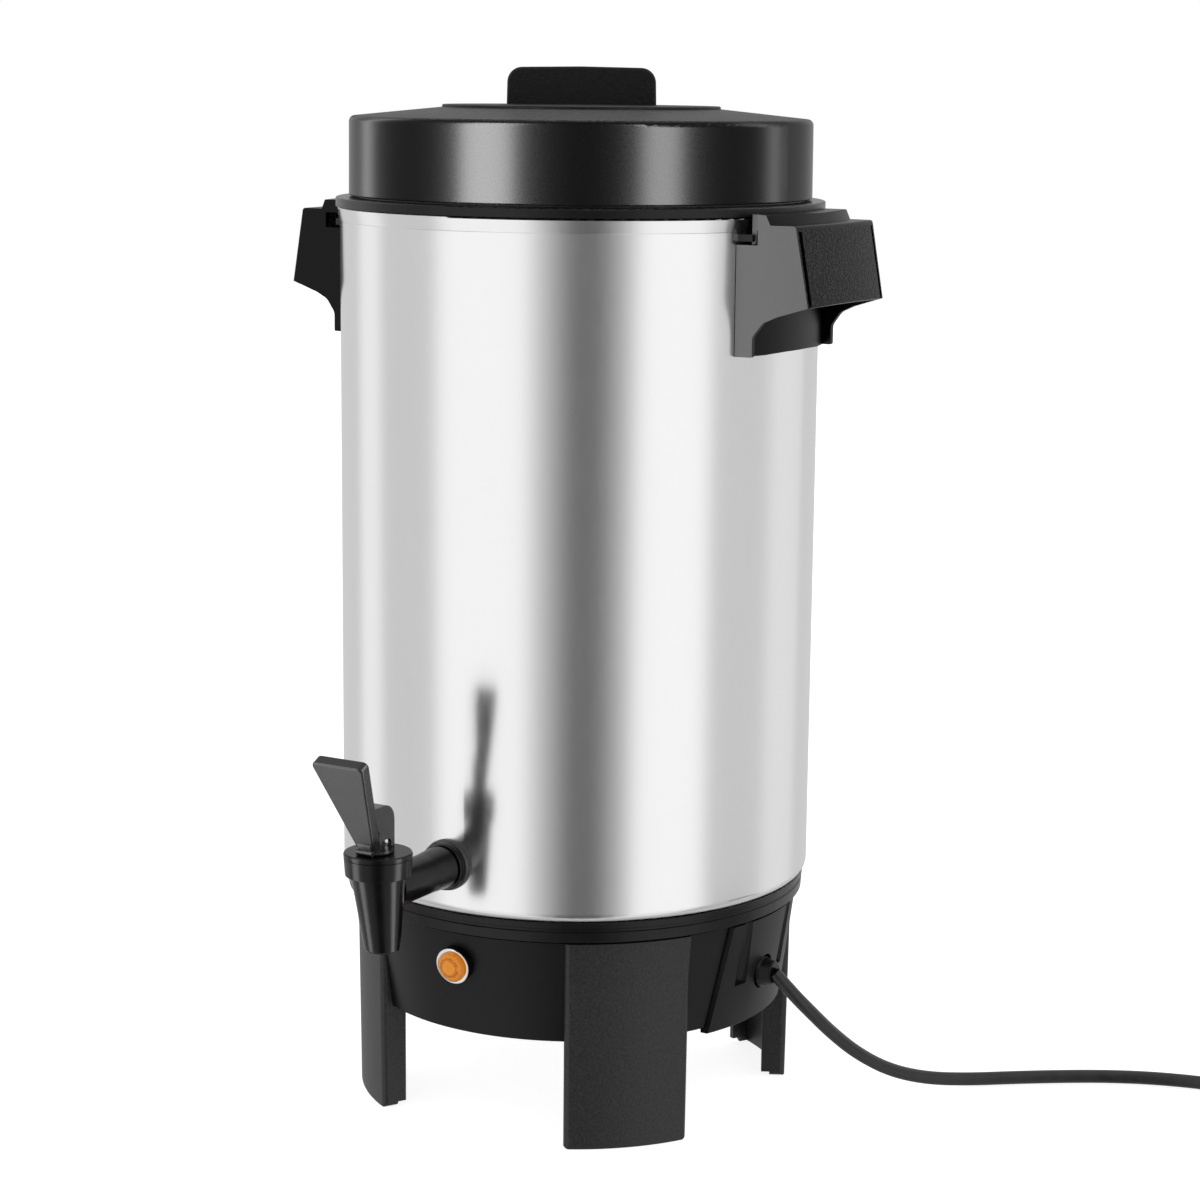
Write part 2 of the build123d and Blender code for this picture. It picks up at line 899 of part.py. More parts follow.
grip_lean = degrees(atan((grip_bottom_reach - grip_top_reach) / (handle_top - 1.7 - grip_bottom_height)))
grip_middle = (
    (grip_bottom_reach + grip_top_reach) / 2,
    0,
    (grip_bottom_height + handle_top - 1.7) / 2,
)
grip_normal = Vector(cos(radians(grip_lean)), 0, sin(radians(grip_lean)))
grip_upright = Vector(-sin(radians(grip_lean)), 0, cos(radians(grip_lean)))
grip_centre = Vector(*grip_middle) - grip_normal * grip_bow
side_reach = 97.6


def side_at(reach, inset=0.0):
    """Half the handle's width at a distance from the urn's axis."""
    return handle_half - handle_toe * (reach - side_reach) - inset


def plan_outline(near, far, inset=0.0):
    """The handle's outline seen from above, toed in towards the grip."""
    return [
        (near, -side_at(near, inset)),
        (far, -side_at(far, inset)),
        (far, side_at(far, inset)),
        (near, side_at(near, inset)),
    ]


def grip_drum(radius, mode):
    """The drum whose face is the outside of the grip, or the inside at a smaller radius."""
    rod(
        grip_centre - grip_upright * 80,
        grip_centre + grip_upright * 80,
        radius,
        mode,
    )


with BuildPart() as finger_space:
    prism(plan_outline(90, 150, handle_wall), Plane.XY, 330, handle_top - handle_wall)
    grip_drum(grip_bow - handle_wall, Mode.INTERSECT)
    turned(
        [
            (0, 320),
            (body_radius + 0.2 + handle_back, 320),
            (body_radius + 0.2 + handle_back, 384),
            (notch_reach + handle_back, 388),
            (notch_reach + handle_back, 400),
            (0, 400),
        ],
        mode=Mode.SUBTRACT,
    )

back_inner = body_radius + 0.2
foot_reach = 105.5

with BuildPart() as back_plate:
    turned(
        [
            (back_inner, handle_bottom + 0.5),
            (back_inner + handle_back, handle_bottom + 0.5),
            (back_inner + handle_back, 384),
            (notch_reach + handle_back, 388),
            (notch_reach + handle_back, handle_top - 1),
            (notch_reach + 0.1, handle_top - 1),
            (notch_reach + 0.1, notch_bottom),
            (back_inner, notch_bottom),
        ]
    )
    prism(plan_outline(90, 150, 1.0), Plane.XY, 330, 400, Mode.INTERSECT)

with BuildPart() as handle_shell:
    prism(
        [
            (side_reach - 6, handle_bottom),
            (foot_reach, handle_bottom, 0.8),
            (foot_reach, 348.4, 4),
            (110, 354.3, 6),
            (116, 357),
            (129, grip_bottom_height),
            (140, grip_bottom_height + 3.4),
            (140, handle_top),
            (side_reach - 6, handle_top),
        ],
        Plane.XZ,
        -60,
        60,
    )
    prism(plan_outline(80, 150), Plane.XY, 330, 402, Mode.INTERSECT)
    grip_drum(grip_bow, Mode.INTERSECT)
    fillet(
        handle_shell.edges().filter_by_position(Axis.X, 120, 135).filter_by_position(
            Axis.Z, handle_top - 0.01, handle_top + 0.01
        ),
        radius=1.5,
    )
    add(finger_space.part, mode=Mode.SUBTRACT)
    add(back_plate.part)
    # The raised ledge beside the collar
    with BuildPart(mode=Mode.PRIVATE) as ledge:
        turned(
            [
                (notch_reach + 0.1, handle_top - 1.5),
                (ledge_radius, handle_top - 1.5),
                (ledge_radius, handle_top),
                (ledge_radius - ledge_draft, ledge_top, 0.5),
                (notch_reach + 0.1, ledge_top),
            ]
        )
        prism(plan_outline(60, 150), Plane.XY, 380, 402, Mode.INTERSECT)
    add(ledge.part)
    # Clear of the tank, and of its hem and collar above the notch
    turned([(0, 320), (back_inner, 320), (back_inner, 402), (0, 402)], mode=Mode.SUBTRACT)
    turned(
        [(0, notch_bottom), (notch_reach + 0.1, notch_bottom), (notch_reach + 0.1, 402), (0, 402)],
        mode=Mode.SUBTRACT,
    )
    # One end is notched down from the top; the other has a closed window for its clip
    prism(
        [(80, -50), (notch_reach, -50), (notch_reach, -33), (80, -33)],
        Plane.XY,
        notch_bottom,
        402,
        Mode.SUBTRACT,
    )
    prism(
        [(80, 33), (110.2, 33), (110.2, 50), (80, 50)],
        Plane.XY,
        notch_bottom,
        392.7,
        Mode.SUBTRACT,
    )
    # A groove on each side of the grip's face
    for side in (-1, 1):
        near_edge = 32.6 * side
        far_edge = 34.9 * side
        with BuildPart(mode=Mode.PRIVATE) as groove:
            prism(
                [(100, near_edge), (150, near_edge), (150, far_edge), (100, far_edge)],
                Plane.XY,
                350,
                handle_top - 2.2,
            )
            grip_drum(grip_bow - 1.5, Mode.SUBTRACT)
        add(groove.part, mode=Mode.SUBTRACT)
    # Bosses for the fixing screws
    for angle in (-handle_screw_angle, handle_screw_angle):
        rod(
            polar(back_inner + 1, angle, handle_screw_height),
            polar(back_inner + handle_back + 3, angle, handle_screw_height),
            4,
        )
        rod(
            polar(back_inner - 1, angle, handle_screw_height),
            polar(back_inner + handle_back + 2, angle, handle_screw_height),
            1.6,
            Mode.SUBTRACT,
        )

for turn, label in ((0, "handle_right"), (180, "handle_left")):
    with BuildPart() as handle:
        with Locations(Location((0, 0, 0), (0, 0, turn))):
            add(handle_shell.part)
    handle.part.label = label
    export_step(handle.part, f"parts/{label}.step")

with BuildPart() as handle_seals:
    for angle, height in handle_screws:
        rod(polar(tank_inner - 1.6, angle, height), polar(tank_inner - 0.15, angle, height), 4.4)
        rod(polar(tank_inner - 3, angle, height), polar(body_radius, angle, height), 1.6, Mode.SUBTRACT)
handle_seals.part.label = "handle_seals"
export_step(handle_seals.part, "parts/handle_seals.step")

with BuildPart() as handle_screws_part:
    for angle, height in handle_screws:
        rod(polar(tank_inner - 4.2, angle, height), polar(tank_inner - 1.7, angle, height), 3.6)
        rod(polar(tank_inner - 1.7, angle, height), polar(back_inner + 3.6, angle, height), 1.5)
handle_screws_part.part.label = "handle_screws"
export_step(handle_screws_part.part, "parts/handle_screws.step")

# Steel clips on the tank's side that the notched ends hook over.
clip_low = 387.4
clip_high = 390.2

with BuildPart() as handle_clips:
    for side in (-1, 1):
        for end in (-1, 1):
            prism(
                [
                    (side * 96, end * 35.4),
                    (side * 104.6, end * 35.4),
                    (side * 104.6, end * 37.6),
                    (side * 96, end * 37.6),
                ],
                Plane.XY,
                clip_low,
                clip_high,
            )
    turned(
        [(0, 380), (body_radius + running, 380), (body_radius + running, 395), (0, 395)],
        mode=Mode.SUBTRACT,
    )
handle_clips.part.label = "handle_clips"
export_step(handle_clips.part, "parts/handle_clips.step")

# ---- Base ---------------------------------------------------------------------------------

flange_inner = 76.0

with BuildPart() as base_band:
    turned(
        [
            (flange_inner, skirt_top),
            (skirt_radius - 1.2, skirt_top),
            (skirt_radius - 1.2, band_bottom),
            (band_radius - 0.6, band_bottom, 0.4),
            (band_radius - 0.3, body_bottom - 4.6),
            (band_radius - 0.8, body_bottom - 4.2),
            (band_radius - 0.8, body_bottom - 3.2),
            (band_radius - 0.1, body_bottom - 2.8),
            (band_radius, body_bottom, 0.4),
            (97.5, body_bottom),
            (97.5, skirt_top + band_flange),
            (flange_inner, skirt_top + band_flange),
        ]
    )
    for angle in stud_angles:
        rod(polar(stud_circle, angle, 90), polar(stud_circle, angle, 98), stud_radius + 0.3, Mode.SUBTRACT)
base_band.part.label = "base_band"
export_step(base_band.part, "parts/base_band.step")

panel_bottom = skirt_bottom - panel_drop
panel_foot_radius = skirt_foot_radius + 1.3
panel_bend_height = 76.0
panel_bend_radius = 99.0
panel_top_radius = skirt_radius + panel_proud
inlet_radius = panel_foot_radius + (inlet_height - panel_bottom) * (
    (panel_bend_radius - panel_foot_radius) / (panel_bend_height - panel_bottom)
)
recess_floor = inlet_radius - 2.4
out_along_x = Plane((0, 0, 0), x_dir=(0, 1, 0), z_dir=(1, 0, 0))

with BuildPart() as cord_panel:
    turned(
        [
            (panel_foot_radius - skirt_wall - 1.0, panel_bottom),
            (panel_foot_radius - 0.5, panel_bottom),
            (panel_foot_radius, panel_bottom + 0.5),
            (panel_bend_radius, panel_bend_height),
            (panel_top_radius, skirt_top),
            (skirt_radius - skirt_wall, skirt_top),
            (skirt_foot_radius - skirt_wall, skirt_bottom),
        ]
    )
    prism(
        [
            (-panel_half_bottom, panel_bottom - 1),
            (panel_half_bottom, panel_bottom - 1),
            (panel_half_top, skirt_top + 1),
            (-panel_half_top, skirt_top + 1),
        ],
        out_along_x,
        60,
        120,
        Mode.INTERSECT,
    )

with BuildPart() as panel_grooves:
    turned(
        [
            (skirt_foot_radius - 1.0, skirt_bottom - 1),
            (skirt_foot_radius + 9, skirt_bottom - 1),
            (skirt_radius + 9, skirt_top + 1),
            (skirt_radius - 0.8, skirt_top + 1),
        ]
    )
    with BuildPart(mode=Mode.PRIVATE) as groove_windows:
        for side in (-1, 1):
            prism(
                [
                    (side * panel_half_bottom, panel_bottom - 1),
                    (side * (panel_half_bottom + 1.3), panel_bottom - 1),
                    (side * (panel_half_top + 1.3), skirt_top + 1),
                    (side * panel_half_top, skirt_top + 1),
                ],
                out_along_x,
                60,
                120,
            )
    add(groove_windows.part, mode=Mode.INTERSECT)

with BuildPart() as base_skirt:
    turned(
        [
            (skirt_foot_radius - skirt_wall, skirt_bottom),
            (skirt_foot_radius - 0.4, skirt_bottom),
            (skirt_foot_radius, skirt_bottom + 0.4),
            (skirt_radius, skirt_top),
            (78, skirt_top),
            (78, skirt_top - skirt_wall),
            (skirt_radius - skirt_wall - 0.4, skirt_top - skirt_wall),
        ]
    )
    for angle in boss_angles:
        rod(
            polar(boss_circle, angle, skirt_bottom + 0.5 + base_plate_thickness + fit),
            polar(boss_circle, angle, skirt_top - 1),
            boss_radius,
        )
    add(panel_grooves.part, mode=Mode.SUBTRACT)
    add(cord_panel.part)
    # Soft valleys that mark off the middle of the cord panel
    for side in (-1, 1):
        rod(
            polar(panel_foot_radius + 5.0, side * 10.6, panel_bottom + 19),
            polar(panel_top_radius + 4.1, side * 10.6, skirt_top + 2),
            4.6,
            Mode.SUBTRACT,
        )
    # The cord inlet: a flatted recess and a hole
    with BuildSketch(Plane((recess_floor, 0, inlet_height), x_dir=(0, 1, 0), z_dir=(1, 0, 0))):
        Circle(inlet_recess_radius)
        Rectangle(2 * inlet_recess_radius, 14.6, rotation=30, mode=Mode.INTERSECT)
    extrude(amount=10, mode=Mode.SUBTRACT)
    rod((80, 0, inlet_height), (110, 0, inlet_height), bushing_radius + running, Mode.SUBTRACT)
    # The hole for the pilot light
    lamp_radius_out = skirt_outer(lamp_height)
    rod(
        (0, -lamp_radius_out + 6, lamp_height + 6 * skirt_slope),
        (0, -lamp_radius_out - 4, lamp_height - 4 * skirt_slope),
        6.1,
        Mode.SUBTRACT,
    )
    for angle in stud_angles:
        rod(polar(stud_circle, angle, 88), polar(stud_circle, angle, 94), stud_radius + 0.3, Mode.SUBTRACT)
    for angle in boss_angles:
        rod(polar(boss_circle, angle, 47), polar(boss_circle, angle, 62), 1.65, Mode.SUBTRACT)
    for leg_angle in leg_names:
        for offset_angle in (-leg_screw_angle, leg_screw_angle):
            rod(
                polar(86, leg_angle + offset_angle, leg_screw_height),
                polar(100, leg_angle + offset_angle, leg_screw_height),
                1.7,
                Mode.SUBTRACT,
            )
base_skirt.part.label = "base_skirt"
export_step(base_skirt.part, "parts/base_skirt.step")

with BuildPart() as leg_blank:
    turned(
        [
            (leg_flange_radius, leg_step_height),
            (leg_step_radius, leg_step_height),
            (leg_step_radius, 0),
            (leg_foot_radius, 0, 0.6),
            (leg_bend_radius, leg_bend_height),
            (leg_top_radius, skirt_top - fit),
            (leg_flange_radius, skirt_top - fit),
        ],
        arc=2 * leg_half_angle,
    )

inside_angle = leg_half_angle - degrees(asin(leg_wall / leg_bend_radius))

with BuildPart() as leg_channel:
    turned(
        [
            (60, -1),
            (leg_foot_radius - leg_wall, -1),
            (leg_foot_radius - leg_wall + 0.6, skirt_bottom),
            (60, skirt_bottom),
        ],
        arc=2 * inside_angle,
    )

with BuildPart() as leg_shape:
    with Locations(Location((0, 0, 0), (0, 0, -leg_half_angle))):
        add(leg_blank.part)
    fillet(
        leg_shape.edges()
        .filter_by(GeomType.LINE)
        .filter_by_position(Axis.Z, -0.1, 0.1)
        .filter_by(lambda edge: edge.length > 3),
        radius=leg_corner,
    )
    with Locations(Location((0, 0, 0), (0, 0, -inside_angle))):
        add(leg_channel.part, mode=Mode.SUBTRACT)
    turned(
        [
            (0, skirt_bottom - fit),
            (skirt_outer(skirt_bottom - fit) + fit, skirt_bottom - fit),
            (skirt_outer(skirt_top + 1) + fit, skirt_top + 1),
            (0, skirt_top + 1),
        ],
        mode=Mode.SUBTRACT,
    )
    for offset_angle in (-leg_screw_angle, leg_screw_angle):
        rod(
            polar(90, offset_angle, leg_screw_height),
            polar(leg_foot_radius - 0.6, offset_angle, leg_screw_height),
            1.6,
            Mode.SUBTRACT,
        )

for leg_angle, label in leg_names.items():
    with BuildPart() as leg:
        with Locations(Location((0, 0, 0), (0, 0, leg_angle))):
            add(leg_shape.part)
    leg.part.label = label
    export_step(leg.part, f"parts/{label}.step")

with BuildPart() as leg_screws:
    for leg_angle in leg_names:
        for offset_angle in (-leg_screw_angle, leg_screw_angle):
            angle = leg_angle + offset_angle
            rod(polar(89.0, angle, leg_screw_height), polar(91.3, angle, leg_screw_height), 2.9)
            rod(polar(91.3, angle, leg_screw_height), polar(96.6, angle, leg_screw_height), 1.5)
leg_screws.part.label = "leg_screws"
export_step(leg_screws.part, "parts/leg_screws.step")

plate_bottom = skirt_bottom + 0.5
plate_radius = skirt_foot_radius - skirt_wall - 0.3

with BuildPart() as base_plate:
    with BuildSketch(Plane.XY.offset(plate_bottom)):
        Circle(plate_radius)
        with PolarLocations(boss_circle, 4, start_angle=boss_angles[0]):
            Circle(1.9, mode=Mode.SUBTRACT)
        for circle, count in ((30, 6), (46, 10), (62, 14)):
            with PolarLocations(circle, count):
                SlotOverall(12, 3, rotation=90, mode=Mode.SUBTRACT)
    extrude(amount=base_plate_thickness)
base_plate.part.label = "base_plate"
export_step(base_plate.part, "parts/base_plate.step")

with BuildPart() as base_plate_screws:
    head_top = plate_bottom - running
    for angle in boss_angles:
        rod(polar(boss_circle, angle, head_top - 2.15), polar(boss_circle, angle, head_top), 3.2)
        rod(polar(boss_circle, angle, head_top), polar(boss_circle, angle, 60), 1.6)
base_plate_screws.part.label = "base_plate_screws"
export_step(base_plate_screws.part, "parts/base_plate_screws.step")

with BuildPart() as body_nuts:
    nut_seat = skirt_top - skirt_wall - running
    for angle in stud_angles:
        with BuildSketch(Plane(polar(stud_circle, angle, nut_seat), z_dir=(0, 0, -1))):
            RegularPolygon(4.0, 6)
            Circle(stud_radius + running, mode=Mode.SUBTRACT)
        extrude(amount=3.2)
body_nuts.part.label = "body_nuts"
export_step(body_nuts.part, "parts/body_nuts.step")

# ---- Heating ------------------------------------------------------------------------------

element_circle = well_outer + 4.8
element_radius = 4.2
element_height = body_bottom - element_radius - 0.7
terminal_angles = (30.0, -30.0)
clamp_plate_top = element_height - element_radius - fit

with BuildPart() as brew_heater:
    turned(
        [
            (element_circle - element_radius, element_height - element_radius, element_radius * 0.96),
            (element_circle + element_radius, element_height - element_radius, element_radius * 0.96),
            (element_circle + element_radius, element_height + element_radius, element_radius * 0.96),
            (element_circle - element_radius, element_height + element_radius, element_radius * 0.96),
        ]
    )
    for angle in terminal_angles:
        rod(polar(element_circle, angle, element_height), polar(element_circle, angle, 80), 1.8)
brew_heater.part.label = "brew_heater"
export_step(brew_heater.part, "parts/brew_heater.step")

with BuildPart() as heater_clamp:
    turned(
        [
            (3.1, well_bottom - 1.7),
            (well_outer + 2.2, well_bottom - 1.7, 1.5),
            (well_outer + 2.2, clamp_plate_top - 1.7),
            (element_circle + 5, clamp_plate_top - 1.7),
            (element_circle + 5, clamp_plate_top),
            (well_outer + 0.6, clamp_plate_top),
            (well_outer + 0.6, well_bottom - fit),
            (3.1, well_bottom - fit),
        ]
    )
    for angle in terminal_angles:
        rod(polar(element_circle, angle, 84), polar(element_circle, angle, 95), 3.0, Mode.SUBTRACT)
heater_clamp.part.label = "heater_clamp"
export_step(heater_clamp.part, "parts/heater_clamp.step")

with BuildPart() as heater_nut:
    with BuildSketch(Plane((0, 0, well_bottom - 1.7 - fit), z_dir=(0, 0, -1))):
        RegularPolygon(5.8, 6)
        Circle(3.0 + running, mode=Mode.SUBTRACT)
    extrude(amount=5)
heater_nut.part.label = "heater_nut"
export_step(heater_nut.part, "parts/heater_nut.step")

with BuildPart() as keep_warm_heater:
    turned(
        [
            (55, body_bottom - 2.6),
            (70, body_bottom - 2.6),
            (70, body_bottom - fit),
            (55, body_bottom - fit),
        ],
        Plane((0, 0, 0), x_dir=polar(1, 210, 0), z_dir=polar(1, 120, 0)),
        arc=300,
    )
keep_warm_heater.part.label = "keep_warm_heater"
export_step(keep_warm_heater.part, "parts/keep_warm_heater.step")

with BuildPart() as thermostat:
    rod(polar(62, 180, body_bottom - fit), polar(62, 180, body_bottom - 8), 8)
    for x in (-66, -58):
        with BuildSketch(Plane((x, 0, body_bottom - 8))):
            Rectangle(0.8, 6)
        extrude(amount=-7)
thermostat.part.label = "thermostat"
export_step(thermostat.part, "parts/thermostat.step")

with BuildPart() as thermal_fuse:
    rod((-8, 44, body_bottom - 2.4), (8, 44, body_bottom - 2.4), 2.2)
    rod((-14, 44, body_bottom - 2.4), (14, 44, body_bottom - 2.4), 0.5)
thermal_fuse.part.label = "thermal_fuse"
export_step(thermal_fuse.part, "parts/thermal_fuse.step")

block_end = 52.0
block_top = 70.0

with BuildPart() as terminal_block:
    with BuildSketch(Plane.XY.offset(plate_bottom + base_plate_thickness)):
        with Locations((block_end - 11, 0)):
            Rectangle(22, 16)
    extrude(amount=block_top - plate_bottom - base_plate_thickness)
terminal_block.part.label = "terminal_block"
export_step(terminal_block.part, "parts/terminal_block.step")

bushing_inner_end = recess_floor - skirt_wall - 9.0

with BuildPart() as internal_wires:
    rod((block_end + fit, 0, inlet_height), (bushing_inner_end - fit, 0, inlet_height), cord_diameter / 2)
    for angle in terminal_angles:
        end = polar(element_circle, angle, 80 - fit)
        side = 4 if angle > 0 else -4
        tube_along(
            [
                (block_end - 8, side, block_top + fit),
                (block_end - 8, side, block_top + 5),
                (end[0], end[1], block_top + 5),
                end,
            ],
            [3, 3],
            1.2,
        )
internal_wires.part.label = "internal_wires"
export_step(internal_wires.part, "parts/internal_wires.step")

# ---- Pilot light --------------------------------------------------------------------------

lamp_out = Vector(0, -cos(radians(skirt_lean)), -sin(radians(skirt_lean)))
lamp_axis = Plane(
    (0, -lamp_radius_out, lamp_height), x_dir=(1, 0, 0), z_dir=Vector(1, 0, 0).cross(lamp_out)
)
lamp_face = lamp_proud

with BuildPart() as indicator_housing:
    turned(
        [
            (4.7, -12),
            (5.9, -12),
            (5.9, running),
            (lamp_radius, running),
            (lamp_radius, lamp_face),
            (4.7, lamp_face),
        ],
        lamp_axis,
    )
indicator_housing.part.label = "indicator_housing"
export_step(indicator_housing.part, "parts/indicator_housing.step")

with BuildPart() as indicator_bezel:
    turned(
        [
            (lens_radius + fit, lamp_face + running),
            (lamp_radius, lamp_face + running),
            (lamp_radius, lamp_face + 1.0, 0.4),
            (lens_radius + fit, lamp_face + 1.0),
        ],
        lamp_axis,
    )
indicator_bezel.part.label = "indicator_bezel"
export_step(indicator_bezel.part, "parts/indicator_bezel.step")

with BuildPart() as indicator_lens:
    turned(
        [
            (2.8, -4),
            (4.6, -4),
            (4.6, lamp_face + running),
            (lens_radius, lamp_face + running),
            (lens_radius, lamp_face + lens_proud - 1.0),
            (lens_radius - 0.9, lamp_face + lens_proud),
            (0, lamp_face + lens_proud),
            (0, lamp_face - 1.5),
            (2.8, lamp_face - 1.5),
        ],
        lamp_axis,
    )
    facet_base = lamp_axis.origin + lamp_out * (lamp_face + lens_proud - fit)
    with BuildSketch(Plane(facet_base, x_dir=(1, 0, 0), z_dir=lamp_out)):
        RegularPolygon(lens_radius - 1.8, 6)
    extrude(amount=0.9, taper=25)
indicator_lens.part.label = "indicator_lens"
export_step(indicator_lens.part, "parts/indicator_lens.step")

with BuildPart() as neon_lamp:
    turned([(0, -14), (2.4, -14), (2.4, 0.4, 1.2), (0, 1.0)], lamp_axis)
neon_lamp.part.label = "neon_lamp"
export_step(neon_lamp.part, "parts/neon_lamp.step")

with BuildPart() as indicator_nut:
    nut_plane = Plane(lamp_axis.origin - lamp_out * (skirt_wall + 0.6), x_dir=(1, 0, 0), z_dir=lamp_out)
    with BuildSketch(nut_plane):
        RegularPolygon(8.4, 6)
        Circle(5.9 + running, mode=Mode.SUBTRACT)
    extrude(amount=-2.4)
indicator_nut.part.label = "indicator_nut"
export_step(indicator_nut.part, "parts/indicator_nut.step")

# ---- Cord ---------------------------------------------------------------------------------

inlet_axis = Plane((0, 0, inlet_height), x_dir=(0, 1, 0), z_dir=(0, 0, -1))

with BuildPart() as strain_relief:
    turned(
        [
            (0, bushing_inner_end),
            (4.6, bushing_inner_end, 0.5),
            (bushing_radius, recess_floor - skirt_wall - 2),
            (bushing_radius, recess_floor + running),
            (7.0, recess_floor + running),
            (7.0, recess_floor + 2.4),
            (6.2, recess_floor + 3.4),
            (4.9, bushing_end, 0.7),
            (0, bushing_end),
        ],
        inlet_axis,
    )
    rod(cord_route[0], cord_route[1], cord_diameter / 2 + running, Mode.SUBTRACT)
strain_relief.part.label = "strain_relief"
export_step(strain_relief.part, "parts/strain_relief.step")


def bend_radii(points):
    """The largest arc that each corner's two runs allow."""
    radii = []
    for before, corner, after in zip(points, points[1:], points[2:]):
        arriving = Vector(*corner) - Vector(*before)
        leaving = Vector(*after) - Vector(*corner)
        half_turn = radians(arriving.get_angle(leaving)) / 2
        radii.append(0.45 * min(arriving.length, leaving.length) / tan(half_turn))
    return radii


cord_radii = bend_radii(cord_route)
print("cord arcs, mm:", [round(radius, 1) for radius in cord_radii])

coil_tail_radius = coil_outer_turn - 2 * coil_pitch + coil_pitch * (coil_turns - 2.3) - 0.2
coil_height = 2 * cord_diameter + 0.5
tail_height = coil_height - cord_diameter / 2 - 0.1
tail_x = coil_centre[0] + coil_tail_radius
tail_route = [
    (tail_x, coil_centre[1] - 2, tail_height),
    (tail_x + 0.6, coil_centre[1] - 14, tail_height - 0.3),
    (tail_x + 0.9, coil_centre[1] - 25, plug_height + 0.4),
    (tail_x + 0.6, coil_centre[1] - 36, plug_height),
]
tail_radii = bend_radii(tail_route)
print("tail arcs, mm:", [round(radius, 1) for radius in tail_radii])
plug_back = tail_route[-1][1]
plug_x = tail_route[-1][0]

with BuildPart() as power_cord:
    lead_length = tube_along(cord_route, cord_radii, cord_diameter / 2)
    tail_length = tube_along(tail_route, tail_radii, cord_diameter / 2)
power_cord.part.label = "power_cord"
export_step(power_cord.part, "parts/power_cord.step")
print("lead and tail, mm:", round(lead_length, 1), round(tail_length, 1))
print(
    "tube volume over section times length:",
    round(power_cord.part.volume / (pi * (cord_diameter / 2) ** 2 * (lead_length + tail_length)), 4),
)

coil_inner = coil_outer_turn - 2 * coil_pitch - cord_diameter / 2 - 0.4

with BuildPart() as cord_coil:
    turned(
        [
            (coil_inner, 0),
            (coil_outer_turn + cord_diameter / 2 + 0.1, 0),
            (coil_outer_turn + cord_diameter / 2 + 0.1, coil_height),
            (coil_inner, coil_height),
        ],
        Plane((coil_centre[0], coil_centre[1], 0), x_dir=(1, 0, 0), z_dir=(0, -1, 0)),
    )
cord_coil.part.label = "cord_coil"
export_step(cord_coil.part, "parts/cord_coil.step")

plug_nose = 12.0
plug_length = 25.0
plug_half_width = 12.0
blade_length = 16.0
blade_height = 6.35
blade_thickness = 1.5
blade_spacing = 12.7

with BuildPart() as plug_body:
    with BuildSketch(Plane((plug_x, plug_back, plug_height), x_dir=(1, 0, 0), z_dir=(0, -1, 0))):
        Circle(4.2)
    with BuildSketch(
        Plane((plug_x, plug_back - plug_nose, plug_height), x_dir=(1, 0, 0), z_dir=(0, -1, 0))
    ):
        RectangleRounded(2 * plug_half_width - 5, 2 * plug_height - 3, 4)
    loft()
    with BuildSketch(
        Plane((plug_x, plug_back - plug_nose, plug_height), x_dir=(1, 0, 0), z_dir=(0, -1, 0))
    ):
        RectangleRounded(2 * plug_half_width - 3, 2 * plug_height - 1.5, 4)
    with BuildSketch(
        Plane(
            (plug_x, plug_back - plug_nose - plug_length, plug_height), x_dir=(1, 0, 0), z_dir=(0, -1, 0)
        )
    ):
        RectangleRounded(2 * plug_half_width, 2 * plug_height, 4)
    loft()
plug_body.part.label = "plug_body"
export_step(plug_body.part, "parts/plug_body.step")

with BuildPart() as plug_blades:
    plug_face = plug_back - plug_nose - plug_length
    for side in (-1, 1):
        blade_x = plug_x + side * blade_spacing / 2
        with BuildSketch(
            Plane((blade_x, plug_face, plug_height), x_dir=(1, 0, 0), z_dir=(0, -1, 0))
        ):
            RectangleRounded(blade_thickness, blade_height, 0.6)
        extrude(amount=blade_length)
plug_blades.part.label = "plug_blades"
export_step(plug_blades.part, "parts/plug_blades.step")
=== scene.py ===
from math import cos, pi, radians, sin

import bpy
from mathutils import Matrix, Vector


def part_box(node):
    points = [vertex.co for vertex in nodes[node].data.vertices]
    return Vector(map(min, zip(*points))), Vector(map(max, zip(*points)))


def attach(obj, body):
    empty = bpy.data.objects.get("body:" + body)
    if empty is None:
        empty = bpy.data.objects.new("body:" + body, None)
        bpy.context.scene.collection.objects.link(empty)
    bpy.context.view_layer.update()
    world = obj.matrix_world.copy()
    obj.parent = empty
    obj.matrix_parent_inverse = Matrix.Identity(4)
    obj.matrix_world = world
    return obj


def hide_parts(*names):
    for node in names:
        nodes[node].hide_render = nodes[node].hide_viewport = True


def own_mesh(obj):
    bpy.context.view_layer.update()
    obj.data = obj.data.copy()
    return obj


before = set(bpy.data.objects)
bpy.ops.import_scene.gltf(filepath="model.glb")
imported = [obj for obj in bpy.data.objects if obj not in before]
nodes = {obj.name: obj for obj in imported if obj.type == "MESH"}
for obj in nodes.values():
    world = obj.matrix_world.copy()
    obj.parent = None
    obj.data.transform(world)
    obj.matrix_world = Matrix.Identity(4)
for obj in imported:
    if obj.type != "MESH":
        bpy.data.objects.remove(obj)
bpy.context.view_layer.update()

# ---- Camera -------------------------------------------------------------------------------
# A long lens a little above the lid, on the tap's right-hand side.
# The axes are built from the pitch, yaw and roll, then turned to the urn's own frame.

